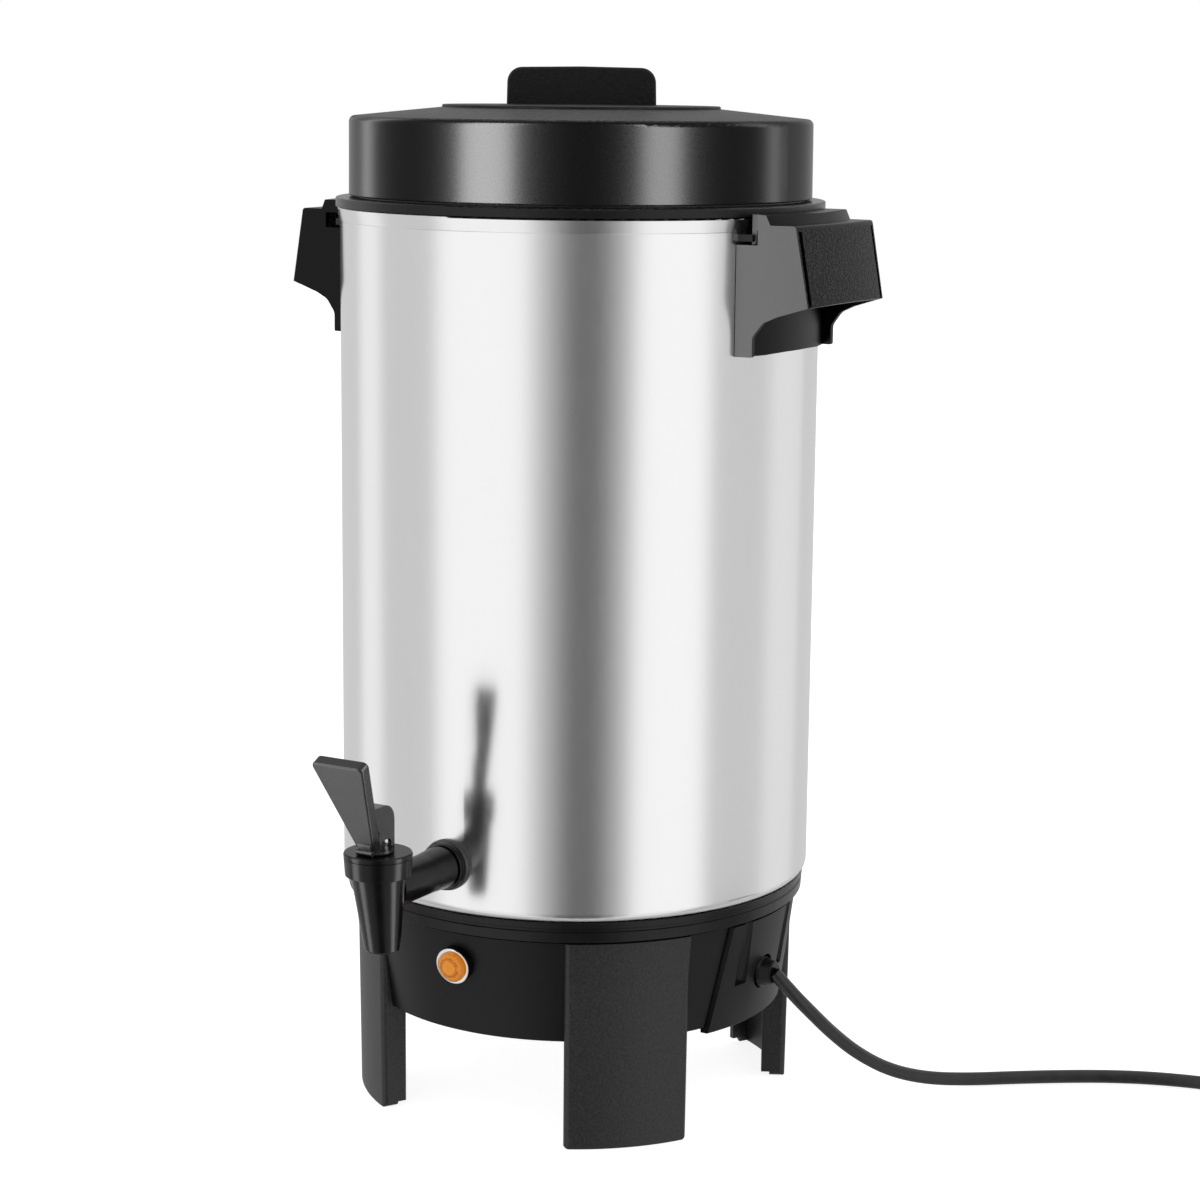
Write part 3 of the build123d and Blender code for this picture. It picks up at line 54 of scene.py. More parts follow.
view_side = radians(31)
pitch = radians(10.4244)
yaw = radians(0.417)
roll = radians(-0.5572)
ahead = Vector((sin(yaw) * cos(pitch), cos(yaw) * cos(pitch), -sin(pitch)))
level = Vector((cos(yaw), -sin(yaw), 0))
down = ahead.cross(level)
across = cos(roll) * level + sin(roll) * down
upward = sin(roll) * level - cos(roll) * down
camera_turn = Matrix.Rotation(view_side, 3, "Z")
camera_distance = 1.24914
camera_height = 0.45194
camera_place = camera_turn @ Vector((0, -camera_distance, camera_height))
camera = bpy.data.objects.new("camera", bpy.data.cameras.new("camera"))
camera.matrix_world = Matrix.Translation(camera_place) @ (
    camera_turn @ Matrix((across, upward, -ahead)).transposed()
).to_4x4()
camera.data.sensor_width = 36
camera.data.lens = 84.848
camera.data.shift_x = 0.002
camera.data.shift_y = 0.0001
bpy.context.scene.collection.objects.link(camera)
bpy.context.scene.camera = camera

# ---- Cord ---------------------------------------------------------------------------------
# A round flex of black rubber. It leaves the bushing, falls to the floor and runs to a flat
# coil of three turns, whose last turn climbs onto the inner ones and ends in the plug.

lead = [
    (0.1030, 0.0000, 0.0655),
    (0.1102, 0.0034, 0.0564),
    (0.1156, 0.0104, 0.0472),
    (0.1208, 0.0210, 0.0356),
    (0.1276, 0.0346, 0.0228),
    (0.1368, 0.0500, 0.0118),
    (0.1482, 0.0654, 0.0054),
    (0.1626, 0.0798, 0.0032),
    (0.1804, 0.0942, 0.0031),
    (0.1984, 0.1072, 0.0031),
    (0.2166, 0.1188, 0.0031),
    (0.2364, 0.1280, 0.0031),
    (0.2590, 0.1342, 0.0031),
    (0.2860, 0.1370, 0.0031),
]
tail = [
    (0.3455, 0.0950, 0.0094),
    (0.3461, 0.0830, 0.0091),
    (0.3464, 0.0720, 0.0086),
    (0.3461, 0.0600, 0.0082),
]
cord_diameter = 0.006
lying_height = 0.0031
coil_middle = Vector((0.313, 0.097))
coil_outer = 0.0392
coil_pitch = 0.0062
coil_steps = 24
coil_turns = 3.25
climb_start = 1.95
climb_turns = 0.4
climb_height = 0.0063
upper_radius = 0.0268
upper_start = 2.3
coil = []
for step in range(1, int(coil_turns * coil_steps)):
    turns = step / coil_steps
    if turns < 2:
        reach = coil_outer - coil_pitch * turns
    else:
        reach = upper_radius + coil_pitch * max(turns - upper_start, 0)
    climb = min(max((turns - climb_start) / climb_turns, 0), 1)
    height = lying_height + climb_height * climb * climb * (3 - 2 * climb)
    angle = pi / 2 - 2 * pi * turns
    reach /= cos(pi / coil_steps)
    coil.append((coil_middle.x + reach * cos(angle), coil_middle.y + reach * sin(angle), height))
route = lead + coil + tail
cord_line = bpy.data.curves.new("cord", "CURVE")
cord_line.dimensions = "3D"
cord_line.bevel_depth = cord_diameter / 2
cord_line.bevel_resolution = 5
cord_line.use_fill_caps = True
strand = cord_line.splines.new("NURBS")
strand.points.add(len(route) - 1)
for point, place in zip(strand.points, route):
    point.co = (*place, 1)
strand.order_u = 3
strand.use_endpoint_u = True
strand.resolution_u = 6
cord = bpy.data.objects.new("cord", cord_line)
bpy.context.scene.collection.objects.link(cord)


class Wire:
    """A value or colour on its way through a shader, which plain arithmetic works on."""

    def __init__(self, tree, socket):
        self.tree = tree
        self.socket = socket

    def node(self, kind, settings, sockets, output=0):
        """Add a node with its settings, feed its sockets with numbers or wires, give its output."""
        made = self.tree.nodes.new("ShaderNode" + kind)
        for name, setting in settings.items():
            if name == "stops":
                stops = made.color_ramp.elements
                for _ in setting[2:]:
                    stops.new(0.5)
                for stop, (position, shade) in zip(stops, setting):
                    stop.position = position
                    stop.color = (*shade, 1)
            else:
                setattr(made, name, setting)
        for name, given in sockets.items():
            if isinstance(given, Wire):
                self.tree.links.new(given.socket, made.inputs[name])
            else:
                made.inputs[name].default_value = given
        return Wire(self.tree, made.outputs[output])

    def math(self, operation, other=0.0):
        """Put this value, and another where the operation takes two, through a Math node."""
        return self.node("Math", {"operation": operation}, {0: self, 1: other})

    def __add__(self, other):
        return self.math("ADD", other)

    def __mul__(self, other):
        return self.math("MULTIPLY", other)

    def __sub__(self, other):
        return self.math("SUBTRACT", other)

    def __rsub__(self, other):
        return self.math("MULTIPLY", -1) + other

    def __truediv__(self, other):
        return self.math("DIVIDE", other)

    def rise(self, low, high):
        """0 below low and 1 above high, or the other way round where high is the smaller."""
        return self.node(
            "MapRange",
            {"interpolation_type": "SMOOTHSTEP"},
            {"Value": self, "From Min": low, "From Max": high},
        )

    def ramp(self, *stops):
        """Look this value up between (position, colour) stops."""
        return self.node("ValToRGB", {"stops": stops}, {0: self})

    def noise(self, scale, detail=2.0):
        """Soft noise on these coordinates, from 0 to 1, with its cells a scale-th of a metre."""
        return self.node("TexNoise", {}, {"Vector": self, "Scale": scale, "Detail": detail})

    def cells(self, scale, feature="F1"):
        """The distance to the nearest of many scattered points, for grains and pebbles."""
        return self.node("TexVoronoi", {"feature": feature}, {"Vector": self, "Scale": scale})

    def stretched(self, *scale):
        """These coordinates with each axis scaled."""
        return self.node("Mapping", {}, {"Vector": self, "Scale": scale})

    def axis(self, index):
        """One of these coordinates: 0 for x, 1 for y, 2 for z."""
        return self.node("SeparateXYZ", {}, {0: self}, index)

    def squared_radius(self):
        """The square of the distance from the urn's axis."""
        east = self.axis(0)
        north = self.axis(1)
        return east * east + north * north

    def bump(self, depth):
        """A surface normal for this height, whose full range is a depth in metres."""
        return self.node("Bump", {}, {"Height": self, "Distance": depth})


class Finish:
    """A material on one surface shader, with constants set on the shader's own sockets."""

    def __init__(self, name, **constants):
        self.material = bpy.data.materials.new(name)
        self.material.use_nodes = True
        tree = self.material.node_tree
        self.shader = tree.nodes["Principled BSDF"]
        for key, constant in constants.items():
            self.shader.inputs[key.replace("_", " ")].default_value = constant
        coordinates = tree.nodes.new("ShaderNodeTexCoord")
        self.place = Wire(tree, coordinates.outputs["Object"])
        self.facing = Wire(tree, coordinates.outputs["Normal"])

    def feed(self, **wires):
        """Connect wires to the shader's named sockets."""
        for key, wire in wires.items():
            wire.tree.links.new(wire.socket, self.shader.inputs[key.replace("_", " ")])

    def on(self, *names):
        """Put the finish on CAD nodes."""
        for name in names:
            mesh = nodes[name].data
            mesh.materials.clear()
            mesh.materials.append(self.material)


rubber = Finish("cord_rubber", IOR=1.52)
scuffs = rubber.place.noise(180, 4)
rubber.feed(
    Base_Color=scuffs.ramp((0.3, (0.010, 0.010, 0.010)), (0.75, (0.022, 0.022, 0.022))),
    Roughness=scuffs * 0.22 + 0.27,
    Normal=rubber.place.noise(1500).bump(0.00004),
)
cord_line.materials.append(rubber.material)
rubber.on("plug_body")
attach(cord, "urn")
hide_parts("power_cord", "cord_coil")

# ---- Plug ---------------------------------------------------------------------------------
# Two flat blades of bright brass in a moulded rubber body.
# A row of ribs on each side gives the fingers a hold; Geometry Nodes set them out.

brass = Finish("blade_brass", Metallic=1.0)
tarnish = brass.place.noise(220, 5)
brass.feed(
    Base_Color=tarnish.ramp((0.3, (0.78, 0.58, 0.26)), (0.8, (0.62, 0.44, 0.19))),
    Roughness=tarnish * 0.2 + 0.16,
)
brass.on("plug_blades")

plug_low, plug_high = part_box("plug_body")
rib_tree = bpy.data.node_groups.new("plug_ribs", "GeometryNodeTree")
for label, kind, value in (
    ("Count", "NodeSocketInt", 6),
    ("Spacing", "NodeSocketFloat", 0.0032),
    ("Radius", "NodeSocketFloat", 0.0012),
    ("Height", "NodeSocketFloat", 0.0075),
):
    entry = rib_tree.interface.new_socket(label, in_out="INPUT", socket_type=kind)
    entry.default_value = value
rib_tree.interface.new_socket("Geometry", in_out="OUTPUT", socket_type="NodeSocketGeometry")


def rib_node(kind, **sockets):
    """Add a geometry node and feed its sockets with values or with other sockets."""
    made = rib_tree.nodes.new(kind)
    for name, given in sockets.items():
        socket = made.inputs[name.replace("_", " ")]
        if isinstance(given, bpy.types.NodeSocket):
            rib_tree.links.new(given, socket)
        else:
            socket.default_value = given
    return made


asked = rib_tree.nodes.new("NodeGroupInput")
step_along = rib_node("ShaderNodeCombineXYZ", Y=asked.outputs["Spacing"])
rail = rib_node("GeometryNodeMeshLine", Count=asked.outputs["Count"], Offset=step_along.outputs[0])
arch = rib_node(
    "GeometryNodeMeshCylinder",
    Vertices=12,
    Radius=asked.outputs["Radius"],
    Depth=asked.outputs["Height"],
)
ribs = rib_node(
    "GeometryNodeInstanceOnPoints", Points=rail.outputs["Mesh"], Instance=arch.outputs["Mesh"]
)
real = rib_node("GeometryNodeRealizeInstances", Geometry=ribs.outputs[0])
coloured = rib_node("GeometryNodeSetMaterial", Geometry=real.outputs[0], Material=rubber.material)
answer = rib_tree.nodes.new("NodeGroupOutput")
rib_tree.links.new(coloured.outputs[0], answer.inputs[0])

rib_inset = 0.0007
first_rib = 0.0025
for label, rib_side in (("left", -1), ("right", 1)):
    blank = bpy.data.objects.new("plug_ribs_" + label, bpy.data.meshes.new("plug_ribs_" + label))
    bpy.context.scene.collection.objects.link(blank)
    modifier = blank.modifiers.new("ribs", "NODES")
    modifier.node_group = rib_tree
    evaluated = blank.evaluated_get(bpy.context.evaluated_depsgraph_get())
    grip = bpy.data.meshes.new_from_object(evaluated)
    blank.modifiers.remove(modifier)
    side_x = plug_high.x if rib_side > 0 else plug_low.x
    rib_place = (
        side_x - rib_side * rib_inset,
        plug_low.y + first_rib,
        (plug_low.z + plug_high.z) / 2,
    )
    grip.transform(Matrix.Translation(rib_place))
    blank.data = grip
    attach(blank, "urn")

# ---- Tank ---------------------------------------------------------------------------------
# One deep-drawn shell of aluminium with a rolled hem. Outside it is polished to a fine satin
# and clear-coated; inside it keeps a duller mill finish.

satin = Finish("satin_aluminium", Metallic=1.0)
inner_face = 0.1043
outer_face = 0.1048
outside = satin.place.squared_radius().rise(inner_face**2, outer_face**2)
polish = satin.place.stretched(1.0, 1.0, 0.25).noise(420, 3)
cloud = satin.place.noise(14, 3)
shade = polish * 0.03 + cloud * 0.02 + 0.90 - outside * 0.07
satin.feed(
    Base_Color=shade.ramp((0.6, (0.6, 0.6, 0.605)), (1.0, (1.0, 1.0, 1.0))),
    Roughness=0.56 - outside * 0.41 + polish * 0.04 + cloud * 0.02,
    Normal=satin.place.noise(2600).bump(0.000004),
)
satin.on("tank")

# ---- Collar and lid -----------------------------------------------------------------------
# The collar is a painted ring over the hem. The lid is a pressed drum lacquered satin black,
# with a pebbled crown and smooth sides; its grip is a grained moulding held by two screws.
# The crown's colour is a little lighter and flecked pale at the pebbles: painted sheen and glints.

lacquer = Finish("black_lacquer", IOR=1.45, Specular_IOR_Level=0.1)
crown_foot = 0.4349
crown_start = 0.4359
crown = lacquer.place.axis(2).rise(crown_foot, crown_start)
dust = lacquer.place.noise(1400)
pebbles = lacquer.place.cells(950)
# On the crown the colour is lifted and flecked pale at each pebble: painted sheen and painted
# glints.
lacquer.feed(
    Base_Color=((pebbles.rise(0.8, 0.2) * 0.85 + 0.15) * crown + dust * 0.04).ramp(
        (0.0, (0.001, 0.001, 0.001)), (0.2, (0.016, 0.016, 0.016)), (1.0, (0.062, 0.062, 0.062))
    ),
    Roughness=crown * 0.12 + dust * 0.03 + 0.235,
    Normal=(pebbles * crown).bump(0.0004),
)
lacquer.on("lid")

rim_paint = Finish("rim_paint", IOR=1.5, Specular_IOR_Level=0.28)
rim_dust = rim_paint.place.noise(120, 3)
rim_paint.feed(
    Base_Color=rim_dust.ramp((0.3, (0.005, 0.005, 0.005)), (0.75, (0.009, 0.009, 0.009))),
    Roughness=rim_dust * 0.06 + 0.24,
)
rim_paint.on("collar_ring", "base_band")

grained = Finish("grained_black", IOR=1.5, Specular_IOR_Level=0.3)
grain = grained.place.cells(850, "SMOOTH_F1") + grained.place.noise(1700) * 0.35
grained.feed(
    Base_Color=grain.ramp((0.1, (0.009, 0.009, 0.009)), (0.8, (0.004, 0.004, 0.004))),
    Roughness=grain * 0.12 + 0.42,
    Normal=grain.bump(0.00016),
)
grained.on("lid_grip")

# ---- Liner and brewing set ----------------------------------------------------------------
# Spun and pressed aluminium, with fine rings from the turning tool: the lid's liner, whose outer
# rim is coloured black as painted shade for the deep gap under the lid, the pump stem on its foot
# with a loose washer, and the perforated basket with its cover.

spun = Finish("spun_aluminium", Metallic=1.0)
ring_scale = 9000
rings = (spun.place.squared_radius().math("SQRT") * ring_scale).math("SINE")
stain = spun.place.noise(60, 4)
spun.feed(
    Base_Color=stain.ramp((0.3, (0.76, 0.77, 0.79)), (0.8, (0.62, 0.62, 0.63))),
    Roughness=stain * 0.2 + rings * 0.03 + 0.24,
)
spun.on("pump_stem", "pump_foot", "pump_washer", "basket", "basket_cover")

liner = Finish("liner_aluminium", Metallic=1.0)
liner_radius = liner.place.squared_radius().math("SQRT")
liner_rings = (liner_radius * ring_scale).math("SINE")
liner_stain = liner.place.noise(60, 4)
# The liner's outer rim turns black and non-metallic: painted shade for the dark gap under the lid.
shade_rim_start = 0.0953
shade_rim_full = 0.0956
painted_shade_rim = liner_radius.rise(shade_rim_start, shade_rim_full)
liner_shade = (1 - painted_shade_rim) * 0.7 + liner_stain * 0.05
liner.feed(
    Base_Color=liner_shade.ramp((0.0, (0.005, 0.005, 0.005)), (0.78, (0.78, 0.78, 0.80))),
    Roughness=liner_stain * 0.2 + liner_rings * 0.03 + 0.26,
    Metallic=1 - painted_shade_rim,
)
liner.on("lid_liner")

# ---- Screws, nuts and clips ---------------------------------------------------------------
# Zinc-plated steel with a faint cloudy passivation; the handle clips and the valve's pin are
# coloured near black, the clips as painted shade in the handle's notch.

zinc = Finish("zinc_plated_steel", Metallic=1.0)
bloom = zinc.place.noise(300, 4)
zinc.feed(
    Base_Color=bloom.ramp((0.25, (0.66, 0.66, 0.64)), (0.8, (0.52, 0.54, 0.57))),
    Roughness=bloom * 0.25 + 0.2,
)
zinc.on(
    "lid_grip_screws",
    "lid_liner_screws",
    "tap_nut_inner",
    "handle_screws",
    "leg_screws",
    "base_plate_screws",
    "body_nuts",
    "heater_nut",
    "indicator_nut",
)
# Near-black steel: on the handle clips this is painted shade for the dark notch.
near_black = Finish("near_black_steel", IOR=1.5)
mottle = near_black.place.noise(240, 3)
near_black.feed(
    Base_Color=mottle.ramp((0.3, (0.006, 0.006, 0.006)), (0.8, (0.012, 0.011, 0.010))),
    Roughness=mottle * 0.2 + 0.42,
)
near_black.on("handle_clips", "valve_pin")

# ---- Valve spring -------------------------------------------------------------------------
# A coil of plated wire between the bonnet's roof and the seat cup, wound here from its foot
# upwards.

spring_low, spring_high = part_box("valve_spring")
spring_middle = (spring_low + spring_high) / 2
spring_wire = 0.0004
spring_turns = 4
spring_steps = 28
spring_radius = (spring_high.x - spring_low.x) / 2 - spring_wire
spring_foot = spring_low.z + spring_wire
spring_rise = spring_high.z - spring_wire - spring_foot
spring_line = bpy.data.curves.new("spring_line", "CURVE")
spring_line.dimensions = "3D"
spring_line.bevel_depth = spring_wire
spring_line.bevel_resolution = 3
spring_line.use_fill_caps = True
winding = spring_line.splines.new("POLY")
winding.points.add(spring_turns * spring_steps)
for step, point in enumerate(winding.points):
    share = step / (spring_turns * spring_steps)
    angle = 2 * pi * spring_turns * share
    point.co = (
        spring_middle.x + spring_radius * cos(angle),
        spring_middle.y + spring_radius * sin(angle),
        spring_foot + spring_rise * share,
        1,
    )
former = bpy.data.objects.new("spring_former", spring_line)
bpy.context.scene.collection.objects.link(former)
wound = bpy.data.meshes.new_from_object(former.evaluated_get(bpy.context.evaluated_depsgraph_get()))
bpy.data.objects.remove(former)
spring = bpy.data.objects.new("spring_coil", wound)
bpy.context.scene.collection.objects.link(spring)
wound.materials.clear()
wound.materials.append(zinc.material)
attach(spring, "urn")
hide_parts("valve_spring")
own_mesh(spring)

# ---- Tap ----------------------------------------------------------------------------------
# Moulded in glossy black: a shank through the tank's wall, a tapering spout, a screwed bonnet
# and a tilting lever, which draws up a rubber seat cup. Two washers seal the wall.

gloss = Finish("moulded_black", IOR=1.5, Specular_IOR_Level=0.22)
flow = gloss.place.noise(90, 3)
gloss.feed(
    Base_Color=flow.ramp((0.3, (0.002, 0.002, 0.0021)), (0.8, (0.005, 0.005, 0.0051))),
    Roughness=flow * 0.06 + 0.2,
    Normal=gloss.place.noise(400).bump(0.000004),
)
gloss.on("tap_body", "tap_bonnet", "tap_nut_outer", "valve_stem")
gloss.on("indicator_housing", "strain_relief")

paddle = Finish("lever_black", IOR=1.5)
face = paddle.facing.axis(1).rise(-0.7, -0.85)
stipple = paddle.place.noise(1900, 3)
paddle.feed(
    Base_Color=stipple.ramp((0.3, (0.010, 0.010, 0.010)), (0.8, (0.020, 0.020, 0.020))),
    Roughness=face * 0.12 + stipple * 0.06 + 0.22,
    Normal=(stipple * face).bump(0.00003),
)
paddle.on("tap_lever")

silicone = Finish("silicone_seal", IOR=1.43, Subsurface_Weight=0.2, Subsurface_Scale=0.002)
bloom_dust = silicone.place.noise(500, 3)
silicone.feed(
    Base_Color=bloom_dust.ramp((0.3, (0.66, 0.63, 0.58)), (0.8, (0.56, 0.53, 0.48))),
    Roughness=bloom_dust * 0.2 + 0.42,
)
silicone.on("seat_cup", "tap_washer_inner", "handle_seals")

black_seal = Finish("black_seal", IOR=1.5)
seal_dust = black_seal.place.noise(700, 3)
black_seal.feed(
    Base_Color=seal_dust.ramp((0.3, (0.010, 0.010, 0.010)), (0.8, (0.018, 0.018, 0.018))),
    Roughness=seal_dust * 0.2 + 0.35,
)
black_seal.on("tap_washer_outer")

# ---- Handles ------------------------------------------------------------------------------
# Heat-proof mouldings screwed and clipped to the tank. The grip's face is grained like
# leather between two grooves, flecked pale in its grain with painted glints; the end walls
# and the ledge above it are a plain satin.

handle = Finish("handle_black", IOR=1.5, Specular_IOR_Level=0.17)
lower_groove = (0.3600, 0.3612)
upper_groove = (0.3932, 0.3922)
face_reach = (0.1195, 0.1205)
outward = handle.facing.axis(0).math("ABSOLUTE").rise(0.86, 0.93)
height_up = handle.place.axis(2)
between = height_up.rise(*lower_groove) * height_up.rise(*upper_groove)
leather = outward * between * handle.place.axis(0).math("ABSOLUTE").rise(*face_reach)
warped = handle.place.stretched(1.0, 1.0, 1.45)
creases_and_glints = warped.cells(1050, "SMOOTH_F1") + warped.noise(1500, 4) * 0.45
satin_skin = handle.place.noise(1600)
# The leather face is flecked pale in its grain: painted glints over the real grain.
handle.feed(
    Base_Color=(creases_and_glints.rise(0.75, 0.3) * leather + satin_skin * 0.1).ramp(
        (0.0, (0.001, 0.001, 0.001)), (0.2, (0.004, 0.004, 0.004)), (1.0, (0.045, 0.045, 0.045))
    ),
    Roughness=leather * 0.06 + satin_skin * 0.06 + 0.32,
    Normal=(creases_and_glints * leather + satin_skin * 0.03).bump(0.0007),
)
handle.on("handle_right", "handle_left")

# ---- Base and legs ------------------------------------------------------------------------
# The skirt and its four legs are phenolic mouldings; the legs have a fine stippled face.
# A galvanised plate closes the base from below.

phenolic = Finish("phenolic_black", IOR=1.5, Specular_IOR_Level=0.24)
flecks = phenolic.place.noise(1200, 3)
phenolic.feed(
    Base_Color=flecks.ramp((0.3, (0.004, 0.004, 0.004)), (0.8, (0.008, 0.008, 0.008))),
    Roughness=flecks * 0.08 + 0.36,
    Normal=phenolic.place.noise(300).bump(0.000004),
)
phenolic.on("base_skirt")

stippled = Finish("stippled_black", IOR=1.5, Specular_IOR_Level=0.5)
peel = stippled.place.noise(1000, 3)
stippled.feed(
    Base_Color=peel.ramp((0.3, (0.007, 0.007, 0.007)), (0.7, (0.026, 0.026, 0.026))),
    Roughness=peel * 0.12 + 0.4,
    Normal=peel.bump(0.0001),
)
stippled.on("leg_front_left", "leg_front_right", "leg_rear_left", "leg_rear_right")

galvanised = Finish("galvanised_sheet", Metallic=1.0)
spangle = galvanised.place.cells(160)
galvanised.feed(
    Base_Color=spangle.ramp((0.0, (0.56, 0.57, 0.58)), (0.9, (0.42, 0.43, 0.45))),
    Roughness=spangle * 0.2 + 0.3,
)
galvanised.on("base_plate", "heater_clamp")

# ---- Heating ------------------------------------------------------------------------------
# A brewing element in the well and a keep-warm ring, both in heat-tinted steel sheaths, with
# a thermostat, a thermal fuse and a terminal block in pale insulating stone.

sheath = Finish("heater_sheath", Metallic=1.0)
tint = sheath.place.noise(55, 3)
sheath.feed(
    Base_Color=tint.ramp(
        (0.3, (0.34, 0.29, 0.24)), (0.55, (0.30, 0.27, 0.29)), (0.8, (0.22, 0.24, 0.30))
    ),
    Roughness=tint * 0.3 + 0.28,
)
sheath.on("brew_heater", "keep_warm_heater")

stone = Finish("insulating_stone", IOR=1.5)
speckle = stone.place.noise(700, 4)
stone.feed(
    Base_Color=speckle.ramp((0.3, (0.66, 0.62, 0.54)), (0.7, (0.76, 0.72, 0.65))),
    Roughness=speckle * 0.25 + 0.4,
    Normal=speckle.bump(0.00004),
)
stone.on("thermostat", "thermal_fuse", "terminal_block")

sleeve = Finish("wire_sleeve", IOR=1.5)
braid_scale = 5200
lengthways = (sleeve.place.axis(2) * braid_scale).math("SINE")
crossways = (sleeve.place.axis(0) * braid_scale).math("SINE")
weave = lengthways * crossways
sleeve.feed(
    Base_Color=(weave * 0.5 + 0.5).ramp((0.2, (0.45, 0.43, 0.38)), (0.8, (0.66, 0.64, 0.58))),
    Roughness=weave * 0.05 + 0.6,
)
sleeve.on("internal_wires")

# ---- Pilot light --------------------------------------------------------------------------
# A neon lamp behind a faceted amber lens, in a black housing with a polished ring. The lens
# glows with a painted glow, and its colour rings, lighter at the middle and near the edge, are
# painted highlights with painted shade between them.

polished = Finish("polished_ring", Metallic=1.0)
wipe = polished.place.noise(400, 3)
polished.feed(
    Base_Color=wipe.ramp((0.3, (0.90, 0.91, 0.93)), (0.8, (0.82, 0.83, 0.86))),
    Roughness=wipe * 0.08 + 0.05,
)
polished.on("indicator_bezel")

# The lens's emission is a painted glow: no lamp in the scene lights it.
amber = Finish("amber_lens", IOR=1.4, Emission_Strength=0.22)
lens_low, lens_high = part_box("indicator_lens")
lens_middle = (lens_low + lens_high) / 2
lens_radius = (lens_high.z - lens_low.z) / 2
lens_across = amber.place.axis(0) - lens_middle.x
lens_up = amber.place.axis(2) - lens_middle.z
from_middle = (lens_across * lens_across + lens_up * lens_up).math("SQRT") / lens_radius
depth = from_middle + amber.place.cells(900) * 0.16
# Colour rings across the lens, lighter at the middle and near the edge and darker between: painted
# highlights and painted shade; the glow follows them.
amber.feed(
    Base_Color=depth.ramp(
        (0.1, (0.80, 0.27, 0.016)),
        (0.5, (0.88, 0.36, 0.030)),
        (0.66, (0.46, 0.11, 0.005)),
        (0.8, (0.80, 0.30, 0.020)),
        (1.0, (0.50, 0.13, 0.006)),
    ),
    Emission_Color=depth.ramp(
        (0.1, (0.95, 0.36, 0.02)), (0.66, (0.7, 0.18, 0.01)), (0.9, (1, 0.4, 0.03))
    ),
    Roughness=depth * 0.06 + 0.1,
)
amber.on("indicator_lens")

lamp_glass = Finish("lamp_glass", IOR=1.5, Transmission_Weight=0.85)
smoke = lamp_glass.place.noise(300, 3)
lamp_glass.feed(
    Base_Color=smoke.ramp((0.3, (0.95, 0.82, 0.72)), (0.8, (0.85, 0.68, 0.55))),
    Roughness=smoke * 0.08 + 0.03,
)
lamp_glass.on("neon_lamp")

# ---- Studio -------------------------------------------------------------------------------
# A white tent with a soft panel on either side of the camera and a dark gap between them.
# Tall strips light the lid, the right handle and the tap alone, and give those their
# highlights.

world = bpy.data.worlds.new("studio")
bpy.context.scene.world = world
world.use_nodes = True
world.node_tree.nodes.clear()
sky = world.node_tree.nodes.new("ShaderNodeTexCoord")
heading = Wire(world.node_tree, sky.outputs["Generated"])
rays = world.node_tree.nodes.new("ShaderNodeLightPath")
seen_directly = Wire(world.node_tree, rays.outputs["Is Camera Ray"])
seen_in_gloss = Wire(world.node_tree, rays.outputs["Is Glossy Ray"])
rightward = heading.axis(0) * cos(view_side) + heading.axis(1) * sin(view_side)
camera_ward = heading.axis(0) * sin(view_side) - heading.axis(1) * cos(view_side)
bearing = rightward.math("ARCTAN2", camera_ward) * (180 / pi)
tent = heading.axis(2).rise(-0.75, -0.2) * 0.2 + 0.46
for centre, half_width, edge, strength in (
    (-47, 17, 14, 0.40),
    (46, 12, 14, 0.42),
    (-119, 4, 12, 0.30),
    (118, 8, 14, 0.18),
    (3, 3, 23, -0.50),
):
    tent = tent + (bearing - centre).math("ABSOLUTE").rise(half_width + edge, half_width) * strength
darkest = 0.12
even = 0.95
shown = seen_in_gloss * (tent.math("MAXIMUM", darkest) - even) + even
brightness = shown * (1 - seen_directly) + seen_directly
glow = brightness.node("Background", {}, {"Color": brightness})
out = world.node_tree.nodes.new("ShaderNodeOutputWorld")
world.node_tree.links.new(glow.socket, out.inputs["Surface"])

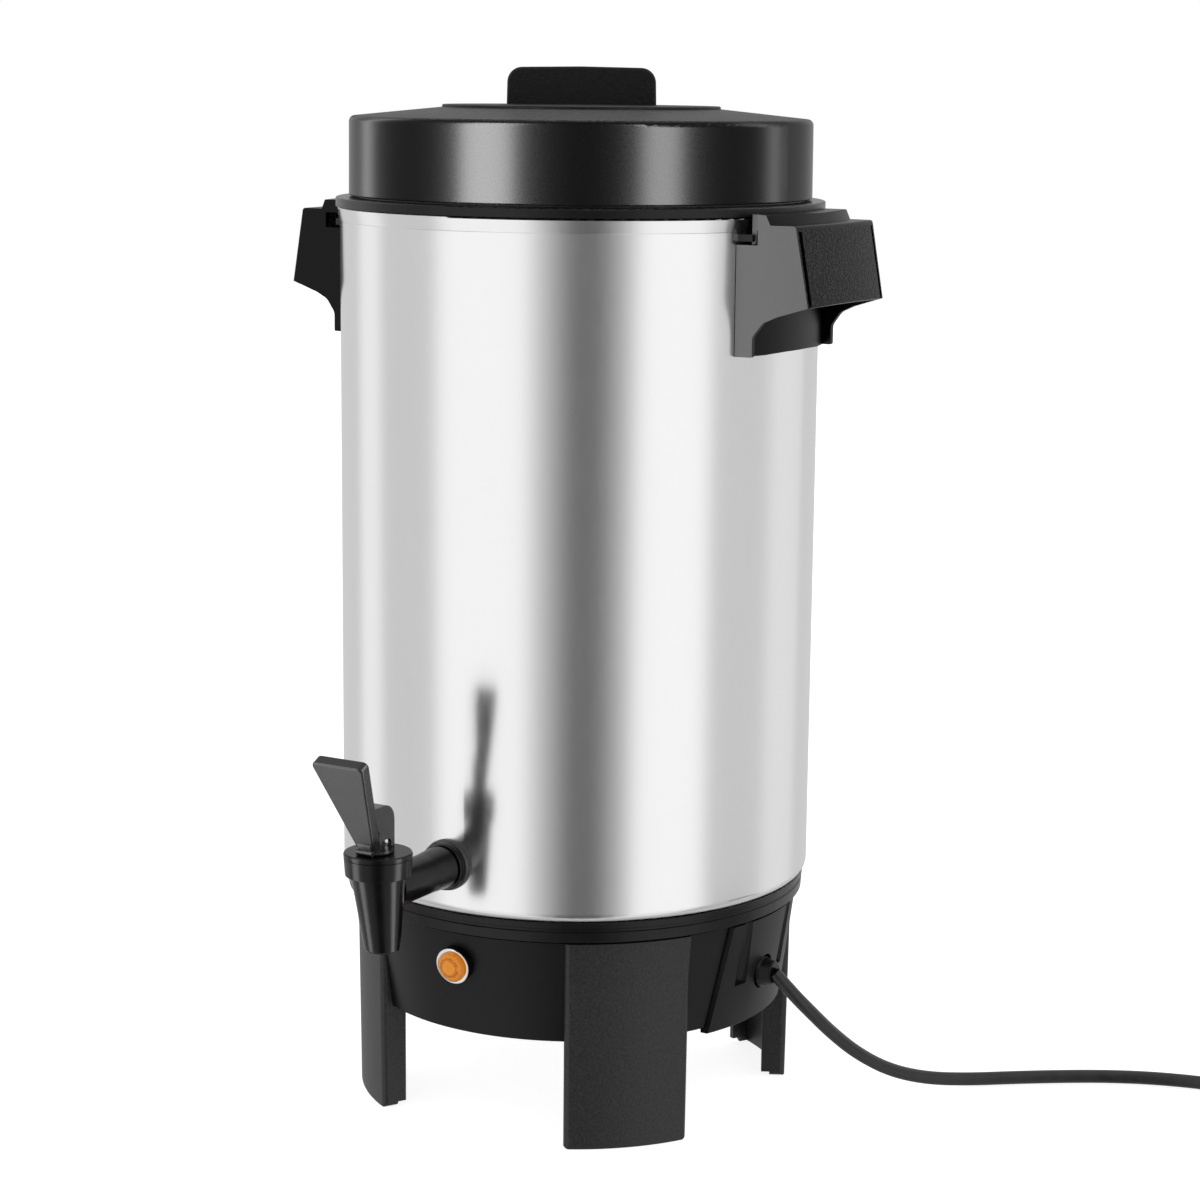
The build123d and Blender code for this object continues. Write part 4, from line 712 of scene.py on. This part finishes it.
lit_parts = {}
for group, members in (
    ("lid", ["lid"]),
    ("handle", ["handle_right"]),
    ("tap", ["tap_body", "tap_bonnet", "tap_nut_outer", "tap_washer_outer", "tap_lever"]),
):
    lit_parts[group] = bpy.data.collections.new("lit_" + group)
    for name in members:
        lit_parts[group].objects.link(nodes[name])
strip_height = 3.0
strip_distance = 1.3
for strip_bearing, width, watts, group in (
    (-45, 0.60, 400.0, "lid"),
    (38, 0.42, 200.0, "lid"),
    (-125, 0.25, 12.0, "lid"),
    (105, 0.20, 16.0, "lid"),
    (-52, 0.80, 120.0, "handle"),
    (-74, 0.55, 26.0, "tap"),
    (72, 0.55, 30.0, "tap"),
):
    strip = bpy.data.objects.new("strip", bpy.data.lights.new("strip", "AREA"))
    strip.data.shape = "RECTANGLE"
    strip.data.size = width
    strip.data.size_y = strip_height
    strip.data.energy = watts
    strip.visible_diffuse = False
    strip.visible_camera = False
    strip.light_linking.receiver_collection = lit_parts[group]
    strip.light_linking.blocker_collection = lit_parts[group]
    away = view_side + radians(strip_bearing)
    outward_from_urn = Vector((sin(away), -cos(away), 0))
    strip.matrix_world = Matrix.Translation(outward_from_urn * strip_distance) @ (
        outward_from_urn.to_track_quat("Z", "Y").to_matrix().to_4x4()
    )
    bpy.context.scene.collection.objects.link(strip)

floor_reach = 4
floor_level = -0.0003
floor_corners = [
    (x * floor_reach, y * floor_reach, floor_level)
    for x, y in ((-1, -1), (1, -1), (1, 1), (-1, 1))
]
floor = bpy.data.objects.new("floor", bpy.data.meshes.new("floor"))
floor.data.from_pydata(floor_corners, [], [(0, 1, 2, 3)])
paper = Finish("paper_floor", Roughness=0.9, Emission_Strength=1.0)
paper_tree = paper.material.node_tree
paper_glow = 0.86
tooth = paper.place.noise(300, 3)
lamp_path = paper_tree.nodes.new("ShaderNodeLightPath")
on_camera = Wire(paper_tree, lamp_path.outputs["Is Camera Ray"])
in_gloss = Wire(paper_tree, lamp_path.outputs["Is Glossy Ray"])
paper.feed(
    Base_Color=tooth.ramp((0.3, (0.40, 0.40, 0.40)), (0.8, (0.44, 0.44, 0.44))),
    Emission_Color=on_camera * paper_glow,
)
clear = in_gloss.node("BsdfTransparent", {}, {})
body = Wire(paper_tree, paper.shader.outputs[0])
mixed = in_gloss.node("MixShader", {}, {0: in_gloss, 1: body, 2: clear})
paper_tree.links.new(mixed.socket, paper_tree.nodes["Material Output"].inputs["Surface"])
floor.data.materials.append(paper.material)
bpy.context.scene.collection.objects.link(floor)

# ---- Finish -------------------------------------------------------------------------------
# Standard view.

bpy.context.scene.view_settings.view_transform = "Standard"
